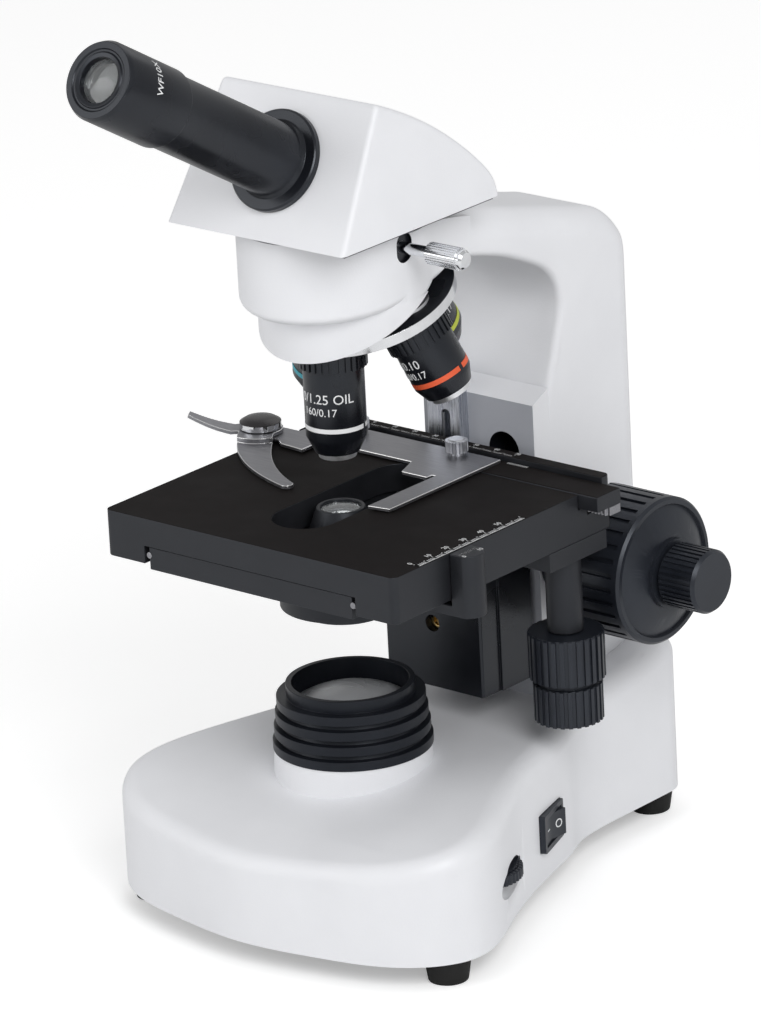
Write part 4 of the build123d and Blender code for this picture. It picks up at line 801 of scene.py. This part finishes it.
# brightness wheel: a wide ring round the CAD wheel, in a slot with a scooped lip
dimmerRing = {"radius": 15.8, "groove": 0.6, "grooves": 44, "thick": 3.6, "crown": 0.7, "crowned": True,
              "bore": 14.2}
dimmerSlot = {"centre": (60.326, -13.235, 28.0), "gap": 0.5, "sides": 128, "wall": (72.2, -10.0, 26.0),
              "turn": 20.0, "scoop": (4.2, 16.0, 5.6), "scoopSides": 64, "scoopRings": 32}


def makeDimmer():
    spec = dimmerSlot
    makeKnurl("dimmer_ring", dimmerRing, spec["centre"], blackPlastic, "dimmer")
    clearSelection()
    bpy.ops.mesh.primitive_uv_sphere_add(segments=spec["scoopSides"], ring_count=spec["scoopRings"],
                                         radius=mm, location=Vector(spec["wall"]) * mm,
                                         rotation=(0, 0, math.radians(spec["turn"])), scale=spec["scoop"])
    cutFrom(skins["base_casting"], bpy.context.object)
    clearSelection()
    tall = dimmerRing["thick"] + dimmerRing["crown"] + 2 * spec["gap"]
    radius = dimmerRing["radius"] + spec["gap"]
    bpy.ops.mesh.primitive_cylinder_add(vertices=spec["sides"], radius=radius * mm, depth=tall * mm,
                                        location=Vector(spec["centre"]) * mm)
    cutFrom(skins["base_casting"], bpy.context.object)
    smoothByAngle(skins["base_casting"])


makeDimmer()
print("brightness wheel made")

# brass grub screw sunk in the focus carrier
grubScrew = {"at": (0.0, 41.0, 97.6), "radius": 3.1, "sides": 36, "long": 3.0, "rim": 1.3, "socket": 1.6,
             "edge": 0.2}


def makeGrubScrew():
    spec = grubScrew
    clearSelection()
    bpy.ops.mesh.primitive_cylinder_add(vertices=spec["sides"], radius=spec["radius"] * mm,
                                        depth=spec["long"] * mm, location=Vector(spec["at"]) * mm,
                                        rotation=(math.pi / 2, 0, 0))
    piece = bpy.context.object
    piece.name = "grub_screw"
    settle(piece)
    pickFaces(piece, lambda face: face.normal.y < -flatFacing)
    bpy.ops.mesh.inset(thickness=spec["rim"] * mm)
    bpy.ops.mesh.extrude_region_move(TRANSFORM_OT_translate={"value": (0, spec["socket"] * mm, 0)})
    addBevel(piece, spec["edge"], edgeSettings["segments"])
    applyModifiers(piece)
    smoothByAngle(piece)
    giveFinish(piece, turnedBrass)
    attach(piece, "focus")


makeGrubScrew()
print("grub screw made")

# camera at the photograph's angle; the picture is 761 by 1024
shot = {"azimuth": 41.1, "elevation": 19.58, "roll": -3.0, "place": (1.6315, -1.8601, 1.033),
        "focalPixels": 7082.5, "sensor": 36.0, "longSide": 1024.0, "farthest": 20.0}


def makeCamera():
    turn, rise, roll = (math.radians(shot[k]) for k in ("azimuth", "elevation", "roll"))
    back = Vector((math.sin(turn) * math.cos(rise), -math.cos(turn) * math.cos(rise), math.sin(rise)))
    right = Vector((math.cos(turn), math.sin(turn), 0))
    up = back.cross(right)
    rolledRight = right * math.cos(roll) + up * math.sin(roll)
    rolledUp = up * math.cos(roll) - right * math.sin(roll)
    bpy.ops.object.camera_add()
    camera = bpy.context.object
    camera.matrix_world = Matrix((rolledRight, rolledUp, back)).transposed().to_4x4()
    camera.location = shot["place"]
    camera.data.sensor_width = shot["sensor"]
    camera.data.lens = shot["focalPixels"] * shot["sensor"] / shot["longSide"]
    camera.data.clip_end = shot["farthest"]
    bpy.context.scene.camera = camera


makeCamera()
print("camera placed")

# studio: pale floor, soft lamps, white surround
studio = {"floorSize": 12.0, "floorColour": (0.93, 0.93, 0.93), "floorRoughness": 0.8, "floorGlow": 0.34,
          "skyColour": (1.0, 1.0, 1.0, 1.0), "skyLight": 0.52, "aim": (0.0, 0.0, 0.17),
          "lamps": [("keyLamp", (1.35, -0.75, 1.25), 1.1, 17.0), ("fillLamp", (-1.1, -1.6, 0.9), 1.4, 9.0),
                    ("rimLamp", (-0.3, 1.4, 1.5), 1.2, 2.0)]}


# the floor glows a little, but only as the camera sees it
def makeFloor():
    bpy.ops.mesh.primitive_plane_add(size=studio["floorSize"])
    floor = bpy.context.object
    floor.name = "floor"
    finish, shader = newFinish("floorCard", studio["floorColour"], studio["floorRoughness"])
    tree = finish.node_tree
    rays = tree.nodes.new("ShaderNodeLightPath")
    glow = tree.nodes.new("ShaderNodeEmission")
    dim = tree.nodes.new("ShaderNodeMath")
    dim.operation = "MULTIPLY"
    dim.inputs[1].default_value = studio["floorGlow"]
    total = tree.nodes.new("ShaderNodeAddShader")
    tree.links.new(rays.outputs["Is Camera Ray"], dim.inputs[0])
    tree.links.new(dim.outputs[0], glow.inputs["Strength"])
    tree.links.new(shader.outputs["BSDF"], total.inputs[0])
    tree.links.new(glow.outputs["Emission"], total.inputs[1])
    tree.links.new(total.outputs["Shader"], tree.nodes["Material Output"].inputs["Surface"])
    giveFinish(floor, finish)


def makeLamps():
    for name, place, size, power in studio["lamps"]:
        bpy.ops.object.light_add(type="AREA", location=place)
        lamp = bpy.context.object
        lamp.name = name
        lamp.data.shape = "DISK"
        lamp.data.size = size
        lamp.data.energy = power
        lamp.rotation_euler = (Vector(studio["aim"]) - Vector(place)).to_track_quat("-Z", "Y").to_euler()


# plain white behind the object and through its lenses, dimmer as a light
def makeSurround():
    world = bpy.data.worlds.new("studioWorld")
    bpy.context.scene.world = world
    world.use_nodes = True
    sky = world.node_tree
    plain = sky.nodes["Background"]
    plain.inputs["Color"].default_value = studio["skyColour"]
    plain.inputs["Strength"].default_value = studio["skyLight"]
    seen = sky.nodes.new("ShaderNodeBackground")
    seen.inputs["Color"].default_value = studio["skyColour"]
    rays = sky.nodes.new("ShaderNodeLightPath")
    either = sky.nodes.new("ShaderNodeMath")
    either.operation = "MAXIMUM"
    mix = sky.nodes.new("ShaderNodeMixShader")
    sky.links.new(rays.outputs["Is Camera Ray"], either.inputs[0])
    sky.links.new(rays.outputs["Is Transmission Ray"], either.inputs[1])
    sky.links.new(either.outputs[0], mix.inputs["Fac"])
    sky.links.new(plain.outputs["Background"], mix.inputs[1])
    sky.links.new(seen.outputs["Background"], mix.inputs[2])
    sky.links.new(mix.outputs["Shader"], sky.nodes["World Output"].inputs["Surface"])


makeFloor()
makeLamps()
makeSurround()
bpy.context.scene.view_settings.view_transform = "Standard"
print("studio lit")
